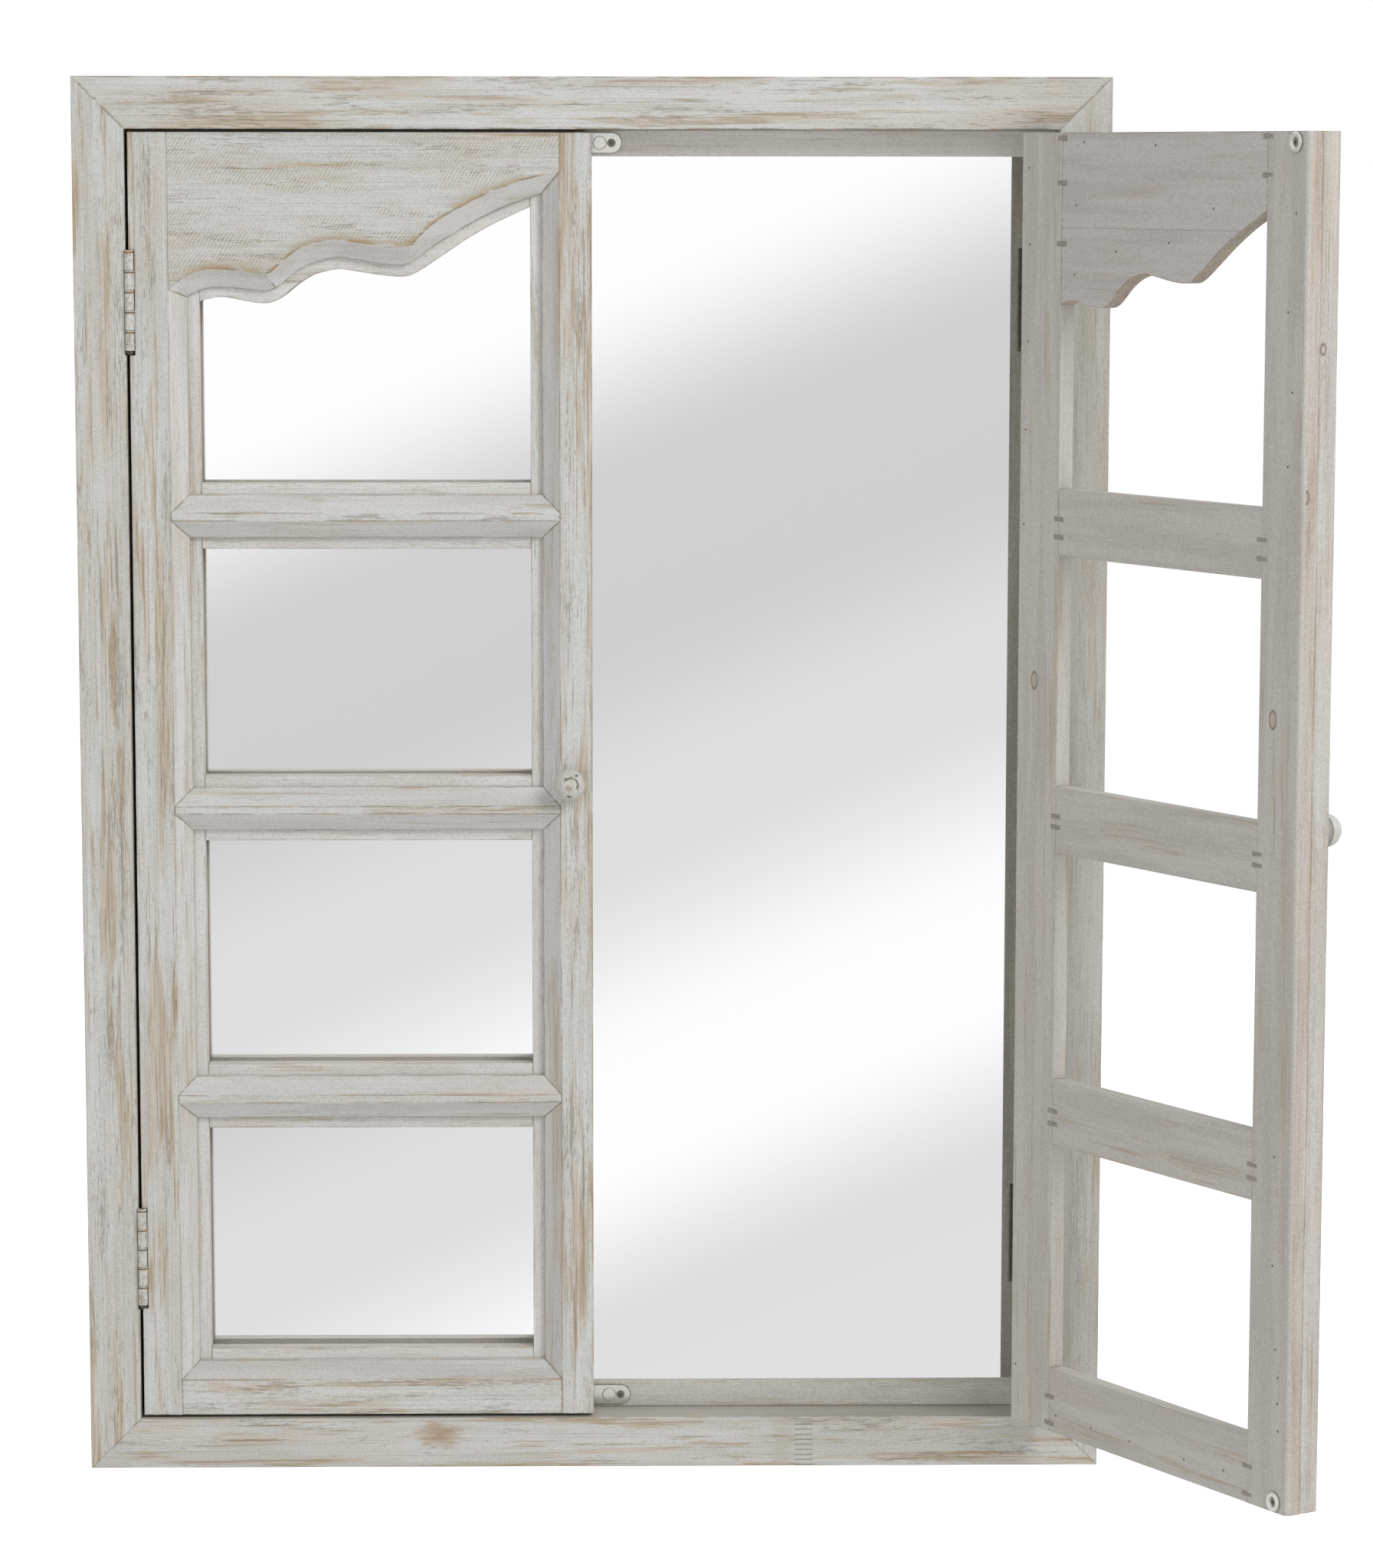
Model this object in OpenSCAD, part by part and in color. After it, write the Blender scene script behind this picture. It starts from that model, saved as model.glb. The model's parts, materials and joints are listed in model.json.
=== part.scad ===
// Shutter mirror: a wall mirror in a deep mitred frame, behind two hinged shutters.
// Each shutter is two glued layers of boards. The front layer is chamfered around four open
// panes, and its top panel has a wavy edge, so that the closed pair forms an arch.
// The bench frame below has x = 0 on the meeting line, y = 0 on the frame's front face and
// z = 0 under the frame. wall_place() moves it to the hanging holes on the wall plane.

/* [Frame] */
// Overall width of the frame
frame_w = 660; // [600:1:760]
// Overall height of the frame
frame_h = 902; // [860:1:1000]
// Width of the front face of each frame board
frame_face = 33; // [30:0.5:40]
// Depth of the frame boards
frame_depth = 46; // [45:0.5:60]

/* [Mirror] */
// Height of the stop battens that the mirror lies against
stop_w = 17; // [16:0.5:22]
// Thickness of the stop battens
stop_t = 4; // [3.8:0.1:8]
// Thickness of the mirror glass
glass_t = 3; // [2:0.5:4]
// Thickness of the back board
board_t = 3; // [2:0.5:4]
// Play around the glass and the back board
glass_play = 0.8; // [0.5:0.1:2]
// Number of retaining tabs up each side
side_tabs = 3; // [2:1:5]
// Width of a retaining tab
tab_w = 9; // [6:0.5:14]
// Length of a retaining tab
tab_len = 14; // [11:0.5:18]
// Thickness of a retaining tab
tab_t = 0.6; // [0.4:0.1:1]

/* [Shutters] */
// Gap between a shutter and the frame
door_gap = 2; // [1.5:0.1:3]
// Gap between the two shutters
meeting_gap = 1.5; // [1:0.1:3]
// Depth of the shutters' front face behind the frame's front face
door_setback = 2.3; // [2:0.1:2.8]
// Thickness of the front layer
front_t = 13; // [11:0.5:16]
// Thickness of the back layer
back_t = 10.5; // [9.5:0.5:13]
// Width of the back layer's stile on the hinge side
hinge_stile_w = 43.5; // [38:0.5:50]
// Width of the back layer's stile on the meeting side
meet_stile_w = 39.3; // [38:0.1:50]
// Height of the rails between the panes
rail_w = 42.4; // [40:0.1:50]
// Height of the bottom rail
bottom_rail_w = 42; // [40:0.5:55]
// Height of the top pane up to the foot of its wavy edge
top_pane_h = 117.7; // [90:0.1:150]
// Distance from the top of a shutter down to the foot of the wavy edge
wave_drop = 105; // [95:1:130]

/* [Moulding] */
// Width of the chamfer around each pane
chamfer_w = 11.2; // [8:0.1:12]
// Depth of the chamfer
chamfer_d = 9.5; // [5:0.1:10]
// Width of the back layer that shows inside the chamfer
step_w = 7.5; // [4:0.1:8]
// Radius of the eased edge on the back of each shutter's meeting side
arris_r = 3; // [1:0.5:4]

/* [Knobs] */
// Diameter of a knob
knob_d = 20.4; // [16:0.1:26]
// Height of a knob
knob_h = 18.8; // [16:0.1:24]
// Diameter of the knob's foot
knob_foot_d = 11; // [9:0.1:15]
// Diameter of the knob's dowel
knob_dowel_d = 8; // [5:0.1:8.5]
// Length of the knob's dowel
knob_dowel_len = 10; // [6:0.5:10]
// Distance from the meeting edge to the knob's axis
knob_inset = 15; // [13:0.1:17]

/* [Hinges] */
// Length of a hinge
hinge_len = 63.5; // [50:0.5:76]
// Distance from the shutter's end to the middle of its hinge
hinge_inset = 106; // [80:1:140]
// Number of knuckles
knuckle_count = 5; // [5:2:7]
// Diameter of the knuckles
knuckle_d = 5.8; // [5.2:0.1:6.4]
// Diameter of the pin
pin_d = 3; // [2:0.1:3.4]
// Distance from the frame's inner face to the pin's axis
axis_inset = 2.3; // [1.8:0.1:2.6]
// Thickness of a leaf
leaf_t = 1.4; // [1:0.1:1.5]
// Distance from the pin's axis to the far edge of a leaf
leaf_reach = 20; // [18:0.5:22]

/* [Catches] */
// Length of the catch plate behind the meeting line
plate_len = 46.4; // [44:0.1:50]
// Height of the catch plate
plate_w = 12.6; // [11:0.1:14]
// Thickness of the catch plate
plate_t = 1; // [0.8:0.1:1.2]
// Distance between the two magnets of a plate
magnet_spacing = 18.8; // [17:0.1:19]
// Diameter of a magnet
magnet_d = 8.6; // [7:0.1:8.8]
// Height of a magnet in front of its plate
magnet_proud = 0.6; // [0.3:0.1:1]
// Sideways offset of the upper catch plate
top_plate_shift = -5; // [-6:0.5:6]
// Diameter of a strike cup
strike_d = 12.4; // [11:0.1:12.8]
// Thickness of a strike cup
strike_t = 1.8; // [1.5:0.1:2.2]
// Distance from the meeting edge to a strike cup's centre
strike_inset = 12; // [8:0.1:14]
// Gap between magnet and strike cup when a shutter is closed
strike_air = 0.3; // [0.2:0.1:1]

/* [Fasteners] */
// Diameter of the heads of the countersunk screws
screw_head_d = 5.2; // [4.4:0.1:5.4]
// Diameter of the screws
screw_d = 2.6; // [2:0.1:3]
// Length of the hinge screws
hinge_screw_len = 14; // [10:0.5:16]
// Length of the strike screws
strike_screw_len = 9; // [7:0.5:11]
// Length of the catch plate screws
catch_screw_len = 4.2; // [3.8:0.1:4.6]
// Length of the corrugated fasteners across a joint
wiggle_len = 9.5; // [8:0.5:14]
// Depth of the corrugated fasteners
wiggle_depth = 6; // [5:0.5:8]

/* [Hanging] */
// Distance from the top of the frame to the hanging holes
hang_drop = 110; // [70:1:160]
// Radius of the round end of each keyhole
keyhole_r = 4.5; // [3.5:0.1:5]
// Width of the keyhole's slot
keyhole_slot_w = 4.4; // [3:0.1:5]
// Height of the keyhole's slot above the round end
keyhole_rise = 11; // [9:0.5:14]
// Width of a hanging plate
hanger_w = 16; // [14:0.5:20]
// Length of a hanging plate
hanger_len = 54; // [48:1:70]
// Thickness of a hanging plate
hanger_t = 1.5; // [1:0.1:2]

/* [Pose] */
// Opening angle of the left shutter
open_left = 0; // [0:1:180]
// Opening angle of the right shutter
open_right = 120; // [0:1:180]

/* [Hidden] */
$fn = 48;
ROOT_NODES = ["frame_top", "frame_bottom", "frame_left", "frame_right",
    "stop_top", "stop_bottom", "stop_left", "stop_right",
    "mirror_glass", "back_board", "retaining_tabs", "hanging_plates", "hanging_screws",
    "mitre_fasteners", "catch_plates", "catch_magnets", "catch_screws",
    "hinge_frame_leaves", "hinge_pins", "hinge_frame_screws"];
LEFT_NODES = ["left_back_hinge_stile", "left_back_meeting_stile", "left_back_top_panel",
    "left_back_upper_rail", "left_back_middle_rail", "left_back_lower_rail",
    "left_back_bottom_rail", "left_front_hinge_stile", "left_front_meeting_stile",
    "left_front_top_panel", "left_upper_muntin", "left_middle_muntin", "left_lower_muntin",
    "left_front_bottom_rail", "left_knob", "left_strike_cups", "left_shutter_screws",
    "left_corrugated_fasteners", "left_hinge_leaves"];
RIGHT_NODES = ["right_back_hinge_stile", "right_back_meeting_stile", "right_back_top_panel",
    "right_back_upper_rail", "right_back_middle_rail", "right_back_lower_rail",
    "right_back_bottom_rail", "right_front_hinge_stile", "right_front_meeting_stile",
    "right_front_top_panel", "right_upper_muntin", "right_middle_muntin", "right_lower_muntin",
    "right_front_bottom_rail", "right_knob", "right_strike_cups", "right_shutter_screws",
    "right_corrugated_fasteners", "right_hinge_leaves"];

LEFT = 0;
RIGHT = 1;
FRAME_LEAF = -1;
DOOR_LEAF = 1;

paint_front = "#c9c6c0";
paint_back = "#aaa69e";
raw_board = "#8d7150";
silvered = "#dfe3e4";
bright_steel = "#d9dad7";
dull_steel = "#8f8d87";
old_steel = "#4a443d";

// Clearances
cut = 0.01; // how far a cutter runs past a face
pin_play = 0.05; // running fit of a pin in a knuckle, on the radius
swing_play = 0.3; // between moving knuckles and the wood around them
knuckle_end_play = 0.3; // between two knuckles
leaf_seat_play = 0.2; // around a leaf in its gain
screw_play = 0.1; // around a screw, on the radius
dowel_play = 0.05; // around a knob's dowel, on the radius
slot_play = 0.15; // around a corrugated fastener or a tab
magnet_play = 0.1; // around a magnet in its plate, on the radius

// Frame
open_w = frame_w - 2 * frame_face;
open_h = frame_h - 2 * frame_face;
hang_z = frame_h - hang_drop;
hang_x = (frame_w - frame_face) / 2;

// Shutters
door_t = front_t + back_t;
door_w = (open_w - 2 * door_gap - meeting_gap) / 2;
door_h = open_h - 2 * door_gap;
door_z = frame_face + door_gap;
axis_x = open_w / 2 - axis_inset;
edge_x = door_gap - axis_inset;

// Mirror and its stops, as depths behind the frame's front face
stop_y = door_setback + door_t + strike_t + strike_air + magnet_proud + plate_t;
glass_y = stop_y + stop_t;
board_y = glass_y + glass_t;
tab_y = board_y + board_t;
glass_w = open_w - 2 * glass_play;
glass_h = open_h - 2 * glass_play;
tab_sunk = tab_len / 2;

// Panes. Levels run outwards from a pane: 0 is the back layer's edge, step_w the chamfer's
// inner edge, and step_w + chamfer_w the chamfer's outer edge on the front face.
mould_w = step_w + chamfer_w;
pane_u0 = hinge_stile_w;
pane_u1 = door_w - meet_stile_w;
wave_foot_z = door_h - wave_drop;
pane_h = (wave_foot_z - top_pane_h - bottom_rail_w - 3 * rail_w) / 3;
pane_pitch = pane_h + rail_w;
function rail_z(i) = bottom_rail_w + pane_h + i * pane_pitch;
function pane_z(i) = bottom_rail_w + i * pane_pitch;

// The wavy edge, as knots [distance from the hinge edge, height above the foot] for a pane
// from wave_u0 to wave_u1, stretched with the pane. The low knots give the back layer's edge,
// the high ones the chamfer's outer edge, wave_reach outside it, with a nick at each dip.
wave_u0 = 43.5;
wave_u1 = 254.95;
wave_reach = 18.7;
low_knots = [[30, -17], [37, -8.5], [43.5, -2.3], [50, -0.3], [57, 0.8], [65, -0.1], [75, -2.1],
    [84, -3.2], [91, -2.2], [98, 2.1], [106, 8.6], [115, 14], [124, 17], [133.5, 18.5],
    [146, 16.8], [160, 14.7], [172, 13.8], [179, 14.8], [187, 19.2], [198, 26.6], [214, 37.2],
    [232, 47.4], [251, 56.2], [265, 62.5], [275, 66]];
high_knots = [[12, -12], [20, 0], [25.2, 6], [29, 9.8], [35.8, 14], [42.6, 17], [50, 18.6],
    [59, 19], [69.6, 17.8], [80, 16.1], [87.3, 15.1], [90, 17.2], [96.7, 22.8], [102.1, 27.8],
    [110.3, 32.7], [120, 35.9], [132, 37.1], [145, 35.8], [160, 33.4], [172, 32.7],
    [178.5, 33.2], [181, 35.4], [186, 40.8], [194.2, 48.2], [205, 54.9], [224, 64.9],
    [245.7, 73.4], [260, 77.4], [273, 79.8], [285, 81.5], [297, 83]];
wave_steps = 6;
wave_samples = 96;

// Catmull-Rom curve through four knots
function blend_knots(a, b, c, d, t) =
    0.5 * (2 * b + (c - a) * t + (2 * a - 5 * b + 4 * c - d) * t * t
        + (3 * b - a - 3 * c + d) * t * t * t);
function stretch_u(u) = pane_u0 + (u - wave_u0) * (pane_u1 - pane_u0) / (wave_u1 - wave_u0);
function wave_curve(knots) =
    [for (i = [1:len(knots) - 3]) for (s = [0:wave_steps - 1])
        let (p = blend_knots(knots[i - 1], knots[i], knots[i + 1], knots[i + 2], s / wave_steps))
        [stretch_u(p.x), wave_foot_z + p.y]];
low_curve = wave_curve(low_knots);
high_curve = wave_curve(high_knots);
// The edge at a level, from the hinge stile to the meeting stile: each point lies on a
// straight line between the two curves
function wave_row(level) =
    [for (i = [0:wave_samples])
        let (
            t = i / wave_samples,
            low_u = pane_u0 + t * (pane_u1 - pane_u0),
            high_u = low_u + (2 * t - 1) * wave_reach,
            low = [low_u, lookup(low_u, low_curve)],
            high = [high_u, lookup(high_u, high_curve)])
        low + (high - low) * level / wave_reach];

// Hinges, about the pin's axis
pin_head_r = pin_d * 0.75;
pin_head_h = 1.2;
pin_dome_h = pin_head_r * 0.7;
pin_tip = pin_head_h + pin_dome_h;
knuckle_r = knuckle_d / 2;
leaf_face = knuckle_r + swing_play;
leaf_y = knuckle_r + 0.4;
knuckle_pitch = hinge_len / knuckle_count;
gain_depth = leaf_face - axis_inset;
door_gain_depth = leaf_face - edge_x;
gain_top = hinge_len / 2 + leaf_seat_play;
gain_foot = hinge_len / 2 + pin_tip + swing_play;
hinge_screw_y = (leaf_y + leaf_reach) / 2 - 1.5;
hinge_screw_z = [-0.36 * hinge_len, 0, 0.36 * hinge_len];
hinge_z = [hinge_inset, door_h - hinge_inset];

// Catches
catch_z = [frame_face + stop_w / 2, frame_h - frame_face - stop_w / 2];
catch_x = [0, top_plate_shift];
plate_screw_x = plate_len / 2 - plate_w / 2;
plate_front_y = stop_y - plate_t;
strike_u = door_w - strike_inset;
strike_z = [catch_z[0] - door_z, catch_z[1] - door_z];
strike_seat = strike_t - 1; // height of the strike screw's head over the shutter

// Screws
screw_head_r = screw_head_d / 2;
screw_r = screw_d / 2;
screw_head_h = screw_head_r - screw_r;

// Corrugated fasteners
wiggle_t = 0.5;
wiggle_swing = 0.8; // half the height of the corrugations
wiggle_waves = 3;
foot_wiggle_z = [5.5, 23]; // above the foot of the shutter
rail_wiggle_z = [[-7.7, 0.7], [-4.8, 2], [-9.2, 2.2]]; // above the middle of each rail
hinge_panel_wiggle_z = [3.6, 31.2, 69]; // below the top, on the hinge side
meeting_panel_wiggle_z = [3, 25.6]; // below the top, on the meeting side
mitre_wiggle_at = [0.3, 0.7]; // along the mitre

// Hanging plates
hanger_screw_z = hanger_len / 2 - 6;
hanger_pocket_d = 12;
hanger_screw_len = 12;

// ---------------------------------------------------------------- placing

// From the bench to the wall: the origin is between the hanging holes, on the wall plane
module wall_place() {
    translate([0, -frame_depth, -hang_z]) children();
}

// One side's hinge line, on the frame
module hinge_side(side) {
    wall_place()
        mirror([side, 0, 0])
            translate([-axis_x, 0, door_z])
                children();
}

// The same line, turned with the shutter
module shutter_turn(side) {
    hinge_side(side)
        rotate([0, 0, side == LEFT ? -open_left : -open_right])
            children();
}

// A shutter's own frame: u from its hinge edge, depth from its front face, z from its foot
module shutter_place(side) {
    shutter_turn(side) translate([edge_x, door_setback, 0]) children();
}

module each_hinge() {
    for (z = hinge_z) translate([0, 0, z]) children();
}

// ---------------------------------------------------------------- fasteners

// Profile of a countersunk screw with its head at z = 0, grown by some play
module screw_profile(length, play) {
    polygon([[0, 0], [screw_head_r + play, 0], [screw_r + play, -screw_head_h],
        [screw_r + play, -length + screw_r], [0, -length - play]]);
}

module screw_hole(length) {
    rotate_extrude() screw_profile(length, screw_play);
    cylinder(r = screw_head_r + screw_play, h = 2);
}

module screw(length) {
    difference() {
        rotate_extrude() screw_profile(length, 0);
        for (turn = [0, 90])
            rotate([0, 0, turn])
                translate([-screw_head_r * 0.6, -0.3, -0.9])
                    cube([screw_head_r * 1.2, 0.6, 1]);
    }
}

// A corrugated fastener lying along x, driven in from y = 0 towards +y
module wiggle_nail() {
    n = 2 * wiggle_waves;
    step = wiggle_len / n;
    lower = [for (i = [0:n]) [-wiggle_len / 2 + i * step, (i % 2 == 0 ? -1 : 1) * wiggle_swing]];
    upper = [for (i = [n:-1:0]) lower[i] + [0, wiggle_t]];
    translate([0, wiggle_depth, -wiggle_t / 2])
        rotate([90, 0, 0])
            linear_extrude(wiggle_depth)
                polygon(concat(lower, upper));
}

module wiggle_slot() {
    half_h = wiggle_swing + wiggle_t / 2 + slot_play;
    translate([-wiggle_len / 2 - slot_play, -cut, -half_h])
        cube([wiggle_len + 2 * slot_play, wiggle_depth + cut, 2 * half_h]);
}

// ---------------------------------------------------------------- frame

// Outline of the frame from the front, as one mitred board: side 0 left, 1 right, 2 top, 3 foot
module board_outline(side) {
    x1 = frame_w / 2;
    x0 = open_w / 2;
    z1 = frame_h;
    a = [[[-x1, 0], [-x0, frame_face], [-x0, z1 - frame_face], [-x1, z1]],
        [[x1, 0], [x1, z1], [x0, z1 - frame_face], [x0, frame_face]],
        [[-x1, z1], [-x0, z1 - frame_face], [x0, z1 - frame_face], [x1, z1]],
        [[-x1, 0], [x1, 0], [x0, frame_face], [-x0, frame_face]]];
    polygon(a[side]);
}

module board_blank(side) {
    translate([0, frame_depth, 0]) rotate([90, 0, 0]) linear_extrude(frame_depth) board_outline(side);
}

// Mitre joints, seen from behind: fasteners across both corners of one end
module each_mitre() {
    for (x = [-1, 1])
        for (z = [-1, 1])
            for (f = mitre_wiggle_at)
                translate([x * (frame_w / 2 - f * frame_face), frame_depth,
                        z > 0 ? frame_h - f * frame_face : f * frame_face])
                    rotate([0, x * z * 45, 0])
                        rotate([0, 0, 180])
                            children();
}

// Places of the retaining tabs: [x, z, turn], with the tab pointing into the frame at +x
tab_places = concat(
    [for (i = [1:side_tabs]) [open_w / 2, frame_face + open_h * i / (side_tabs + 1), 0]],
    [for (i = [1:side_tabs]) [-open_w / 2, frame_face + open_h * i / (side_tabs + 1), 180]],
    [for (i = [1:2]) [-open_w / 2 + open_w * i / 3, frame_face + open_h, -90]],
    [for (i = [1:2]) [-open_w / 2 + open_w * i / 3, frame_face, 90]]);

module each_tab() {
    for (p = tab_places)
        translate([p[0], tab_y, p[1]]) rotate([0, p[2], 0]) children();
}

module tab_slot() {
    translate([0, -slot_play, -tab_w / 2 - slot_play])
        cube([tab_sunk + slot_play, tab_t + 2 * slot_play, tab_w + 2 * slot_play]);
}

// A hanging plate's place on the back of one side board, turned to face backwards
module each_hanger() {
    for (x = [-1, 1]) translate([x * hang_x, frame_depth, hang_z]) children();
}

module hanger_pocket() {
    z_mid = keyhole_rise / 2;
    translate([-hanger_w / 2 - screw_play, -hanger_t, z_mid - hanger_len / 2 - screw_play])
        cube([hanger_w + 2 * screw_play, hanger_t + cut, hanger_len + 2 * screw_play]);
    translate([-keyhole_r - 1, -hanger_pocket_d, -keyhole_r - 1])
        cube([2 * keyhole_r + 2, hanger_pocket_d, keyhole_rise + 2 * keyhole_r + 2]);
    each_hanger_screw() screw_hole(hanger_screw_len);
}

module each_hanger_screw() {
    for (z = [-hanger_screw_z, hanger_screw_z])
        translate([0, 0, keyhole_rise / 2 + z]) rotate([-90, 0, 0]) children();
}

module side_board(side) {
    color(paint_front)
        difference() {
            wall_place()
                difference() {
                    board_blank(side);
                    each_mitre() wiggle_slot();
                    each_tab() tab_slot();
                    each_hanger() hanger_pocket();
                }
            hinge_side(side)
                each_hinge() {
                    translate([-leaf_face, -cut, -gain_foot])
                        cube([gain_depth + cut, leaf_reach + leaf_seat_play + cut,
                            gain_foot + gain_top]);
                    each_leaf_screw(FRAME_LEAF) screw_hole(hinge_screw_len);
                }
        }
}

module cross_board(side) {
    color(paint_front)
        wall_place()
            difference() {
                board_blank(side);
                each_mitre() wiggle_slot();
                each_tab() tab_slot();
            }
}

module mitre_fasteners() {
    color(dull_steel) wall_place() each_mitre() wiggle_nail();
}

// ---------------------------------------------------------------- mirror

module stop_batten_across(i) {
    color(paint_back)
        wall_place()
            difference() {
                translate([-open_w / 2, stop_y, catch_z[i] - stop_w / 2])
                    cube([open_w, stop_t, stop_w]);
                each_catch_screw(i) screw_hole(catch_screw_len);
            }
}

module stop_batten_up(side) {
    color(paint_back)
        wall_place()
            mirror([side, 0, 0])
                translate([-open_w / 2, stop_y, frame_face + stop_w])
                    cube([stop_w, stop_t, open_h - 2 * stop_w]);
}

module mirror_glass() {
    color(silvered)
        wall_place()
            translate([-glass_w / 2, glass_y, frame_face + glass_play])
                cube([glass_w, glass_t, glass_h]);
}

module back_board() {
    color(raw_board)
        wall_place()
            translate([-glass_w / 2, board_y, frame_face + glass_play])
                cube([glass_w, board_t, glass_h]);
}

module retaining_tabs() {
    color(dull_steel)
        wall_place()
            each_tab()
                translate([-tab_len + tab_sunk, 0, -tab_w / 2])
                    cube([tab_len, tab_t, tab_w]);
}

// ---------------------------------------------------------------- hanging plates

module hanging_plates() {
    color(dull_steel)
        wall_place()
            each_hanger()
                difference() {
                    translate([-hanger_w / 2, -hanger_t, keyhole_rise / 2 - hanger_len / 2])
                        cube([hanger_w, hanger_t, hanger_len]);
                    rotate([90, 0, 0]) cylinder(r = keyhole_r, h = 4 * hanger_t, center = true);
                    translate([-keyhole_slot_w / 2, -2 * hanger_t, 0])
                        cube([keyhole_slot_w, 4 * hanger_t, keyhole_rise]);
                    translate([0, 0, keyhole_rise])
                        rotate([90, 0, 0])
                            cylinder(d = keyhole_slot_w, h = 4 * hanger_t, center = true);
                    each_hanger_screw() screw_hole(hanger_screw_len);
                }
}

module hanging_screws() {
    color(bright_steel) wall_place() each_hanger() each_hanger_screw() screw(hanger_screw_len);
}

// ---------------------------------------------------------------- catches

// Screws of the lower (0) or upper (1) catch plate, with their heads to the front
module each_catch_screw(i) {
    for (x = [-plate_screw_x, plate_screw_x])
        translate([catch_x[i] + x, plate_front_y, catch_z[i]]) rotate([90, 0, 0]) children();
}

module each_magnet(i) {
    for (x = [-magnet_spacing / 2, magnet_spacing / 2])
        translate([catch_x[i] + x, stop_y, catch_z[i]]) rotate([90, 0, 0]) children();
}

module catch_plates() {
    color(bright_steel)
        wall_place()
            for (i = [0, 1])
                difference() {
                    translate([catch_x[i], stop_y, catch_z[i]]) catch_plate_blank();
                    each_catch_screw(i) screw_hole(catch_screw_len);
                    each_magnet(i)
                        cylinder(r = magnet_d / 2 + magnet_play, h = 4 * plate_t, center = true);
                }
}

module catch_plate_blank() {
    rotate([90, 0, 0]) {
        for (x = [-plate_screw_x, plate_screw_x])
            translate([x, 0, 0]) cylinder(d = plate_w, h = plate_t);
        translate([-plate_screw_x, -plate_w / 2, 0]) cube([2 * plate_screw_x, plate_w, plate_t]);
    }
}

module catch_magnets() {
    edge = 0.3;
    h = plate_t + magnet_proud;
    color(bright_steel)
        wall_place()
            for (i = [0, 1])
                each_magnet(i)
                    rotate_extrude()
                        polygon([[0, 0], [magnet_d / 2, 0], [magnet_d / 2, h - edge],
                            [magnet_d / 2 - edge, h], [0, h]]);
}

module catch_screws() {
    color(dull_steel)
        wall_place()
            for (i = [0, 1]) each_catch_screw(i) screw(catch_screw_len);
}

// ---------------------------------------------------------------- hinges

// Screws through the frame's or the shutter's leaf, with their heads towards each other
module each_leaf_screw(leaf) {
    for (z = hinge_screw_z)
        translate([leaf * (leaf_face - leaf_t), hinge_screw_y, z])
            rotate([0, leaf > 0 ? -90 : 90, 0])
                children();
}

// One leaf about the pin's axis. The frame's leaf has the outer knuckles.
module hinge_leaf(leaf) {
    x0 = leaf > 0 ? leaf_face - leaf_t : -leaf_face;
    difference() {
        union() {
            translate([x0, leaf_y, -hinge_len / 2])
                cube([leaf_t, leaf_reach - leaf_y, hinge_len]);
            for (k = [leaf > 0 ? 1 : 0 : 2 : knuckle_count - 1]) {
                first = k == 0;
                last = k == knuckle_count - 1;
                z0 = -hinge_len / 2 + k * knuckle_pitch + (first ? 0 : knuckle_end_play / 2);
                z1 = -hinge_len / 2 + (k + 1) * knuckle_pitch - (last ? 0 : knuckle_end_play / 2);
                translate([0, 0, z0]) cylinder(r = knuckle_r, h = z1 - z0);
                translate([x0, swing_play, z0]) cube([leaf_t, leaf_y, z1 - z0]);
            }
        }
        cylinder(r = pin_d / 2 + pin_play, h = 2 * hinge_len, center = true);
        each_leaf_screw(leaf) screw_hole(hinge_screw_len);
    }
}

module hinge_pin() {
    dome = [for (a = [0:15:90]) [pin_head_r * sin(a), -pin_head_h - pin_dome_h * cos(a)]];
    translate([0, 0, -hinge_len / 2]) {
        cylinder(d = pin_d, h = hinge_len);
        rotate_extrude() polygon(concat(dome, [[pin_head_r, 0], [0, 0]]));
    }
}

module hinge_frame_leaves() {
    color(paint_front)
        for (side = [LEFT, RIGHT]) hinge_side(side) each_hinge() hinge_leaf(FRAME_LEAF);
}

module hinge_pins() {
    color(old_steel)
        for (side = [LEFT, RIGHT]) hinge_side(side) each_hinge() hinge_pin();
}

module hinge_frame_screws() {
    color(dull_steel)
        for (side = [LEFT, RIGHT])
            hinge_side(side) each_hinge() each_leaf_screw(FRAME_LEAF) screw(hinge_screw_len);
}

module hinge_leaves(side) {
    color(paint_front) shutter_turn(side) each_hinge() hinge_leaf(DOOR_LEAF);
}

// ---------------------------------------------------------------- shutters

// What the hinges take out of a shutter's edge, in the hinge line's frame
module hinge_cuts() {
    each_hinge() {
        translate([edge_x - cut, 0, -gain_foot])
            cube([door_gain_depth + cut, leaf_reach + leaf_seat_play, gain_foot + gain_top]);
        each_leaf_screw(DOOR_LEAF) screw_hole(hinge_screw_len);
    }
}

module strike_cuts() {
    each_strike() screw_hole(strike_screw_len);
}

module each_strike() {
    for (z = strike_z)
        translate([strike_u, door_t + strike_seat, z]) rotate([-90, 0, 0]) children();
}

// Places of the corrugated fasteners on a shutter's back, at both ends of each joint
module each_wiggle() {
    rails = [for (i = [0:2]) for (dz = rail_wiggle_z[i]) rail_z(i) + rail_w / 2 + dz];
    for (joint = [[pane_u0, hinge_panel_wiggle_z], [pane_u1, meeting_panel_wiggle_z]])
        for (z = concat(foot_wiggle_z, rails, [for (drop = joint[1]) door_h - drop]))
            translate([joint[0], door_t, z]) rotate([0, 0, 180]) children();
}

// Draws a flat outline in u and z as a board between two depths
module board(y0, y1) {
    translate([0, y1, 0]) rotate([90, 0, 0]) linear_extrude(y1 - y0) children();
}

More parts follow.
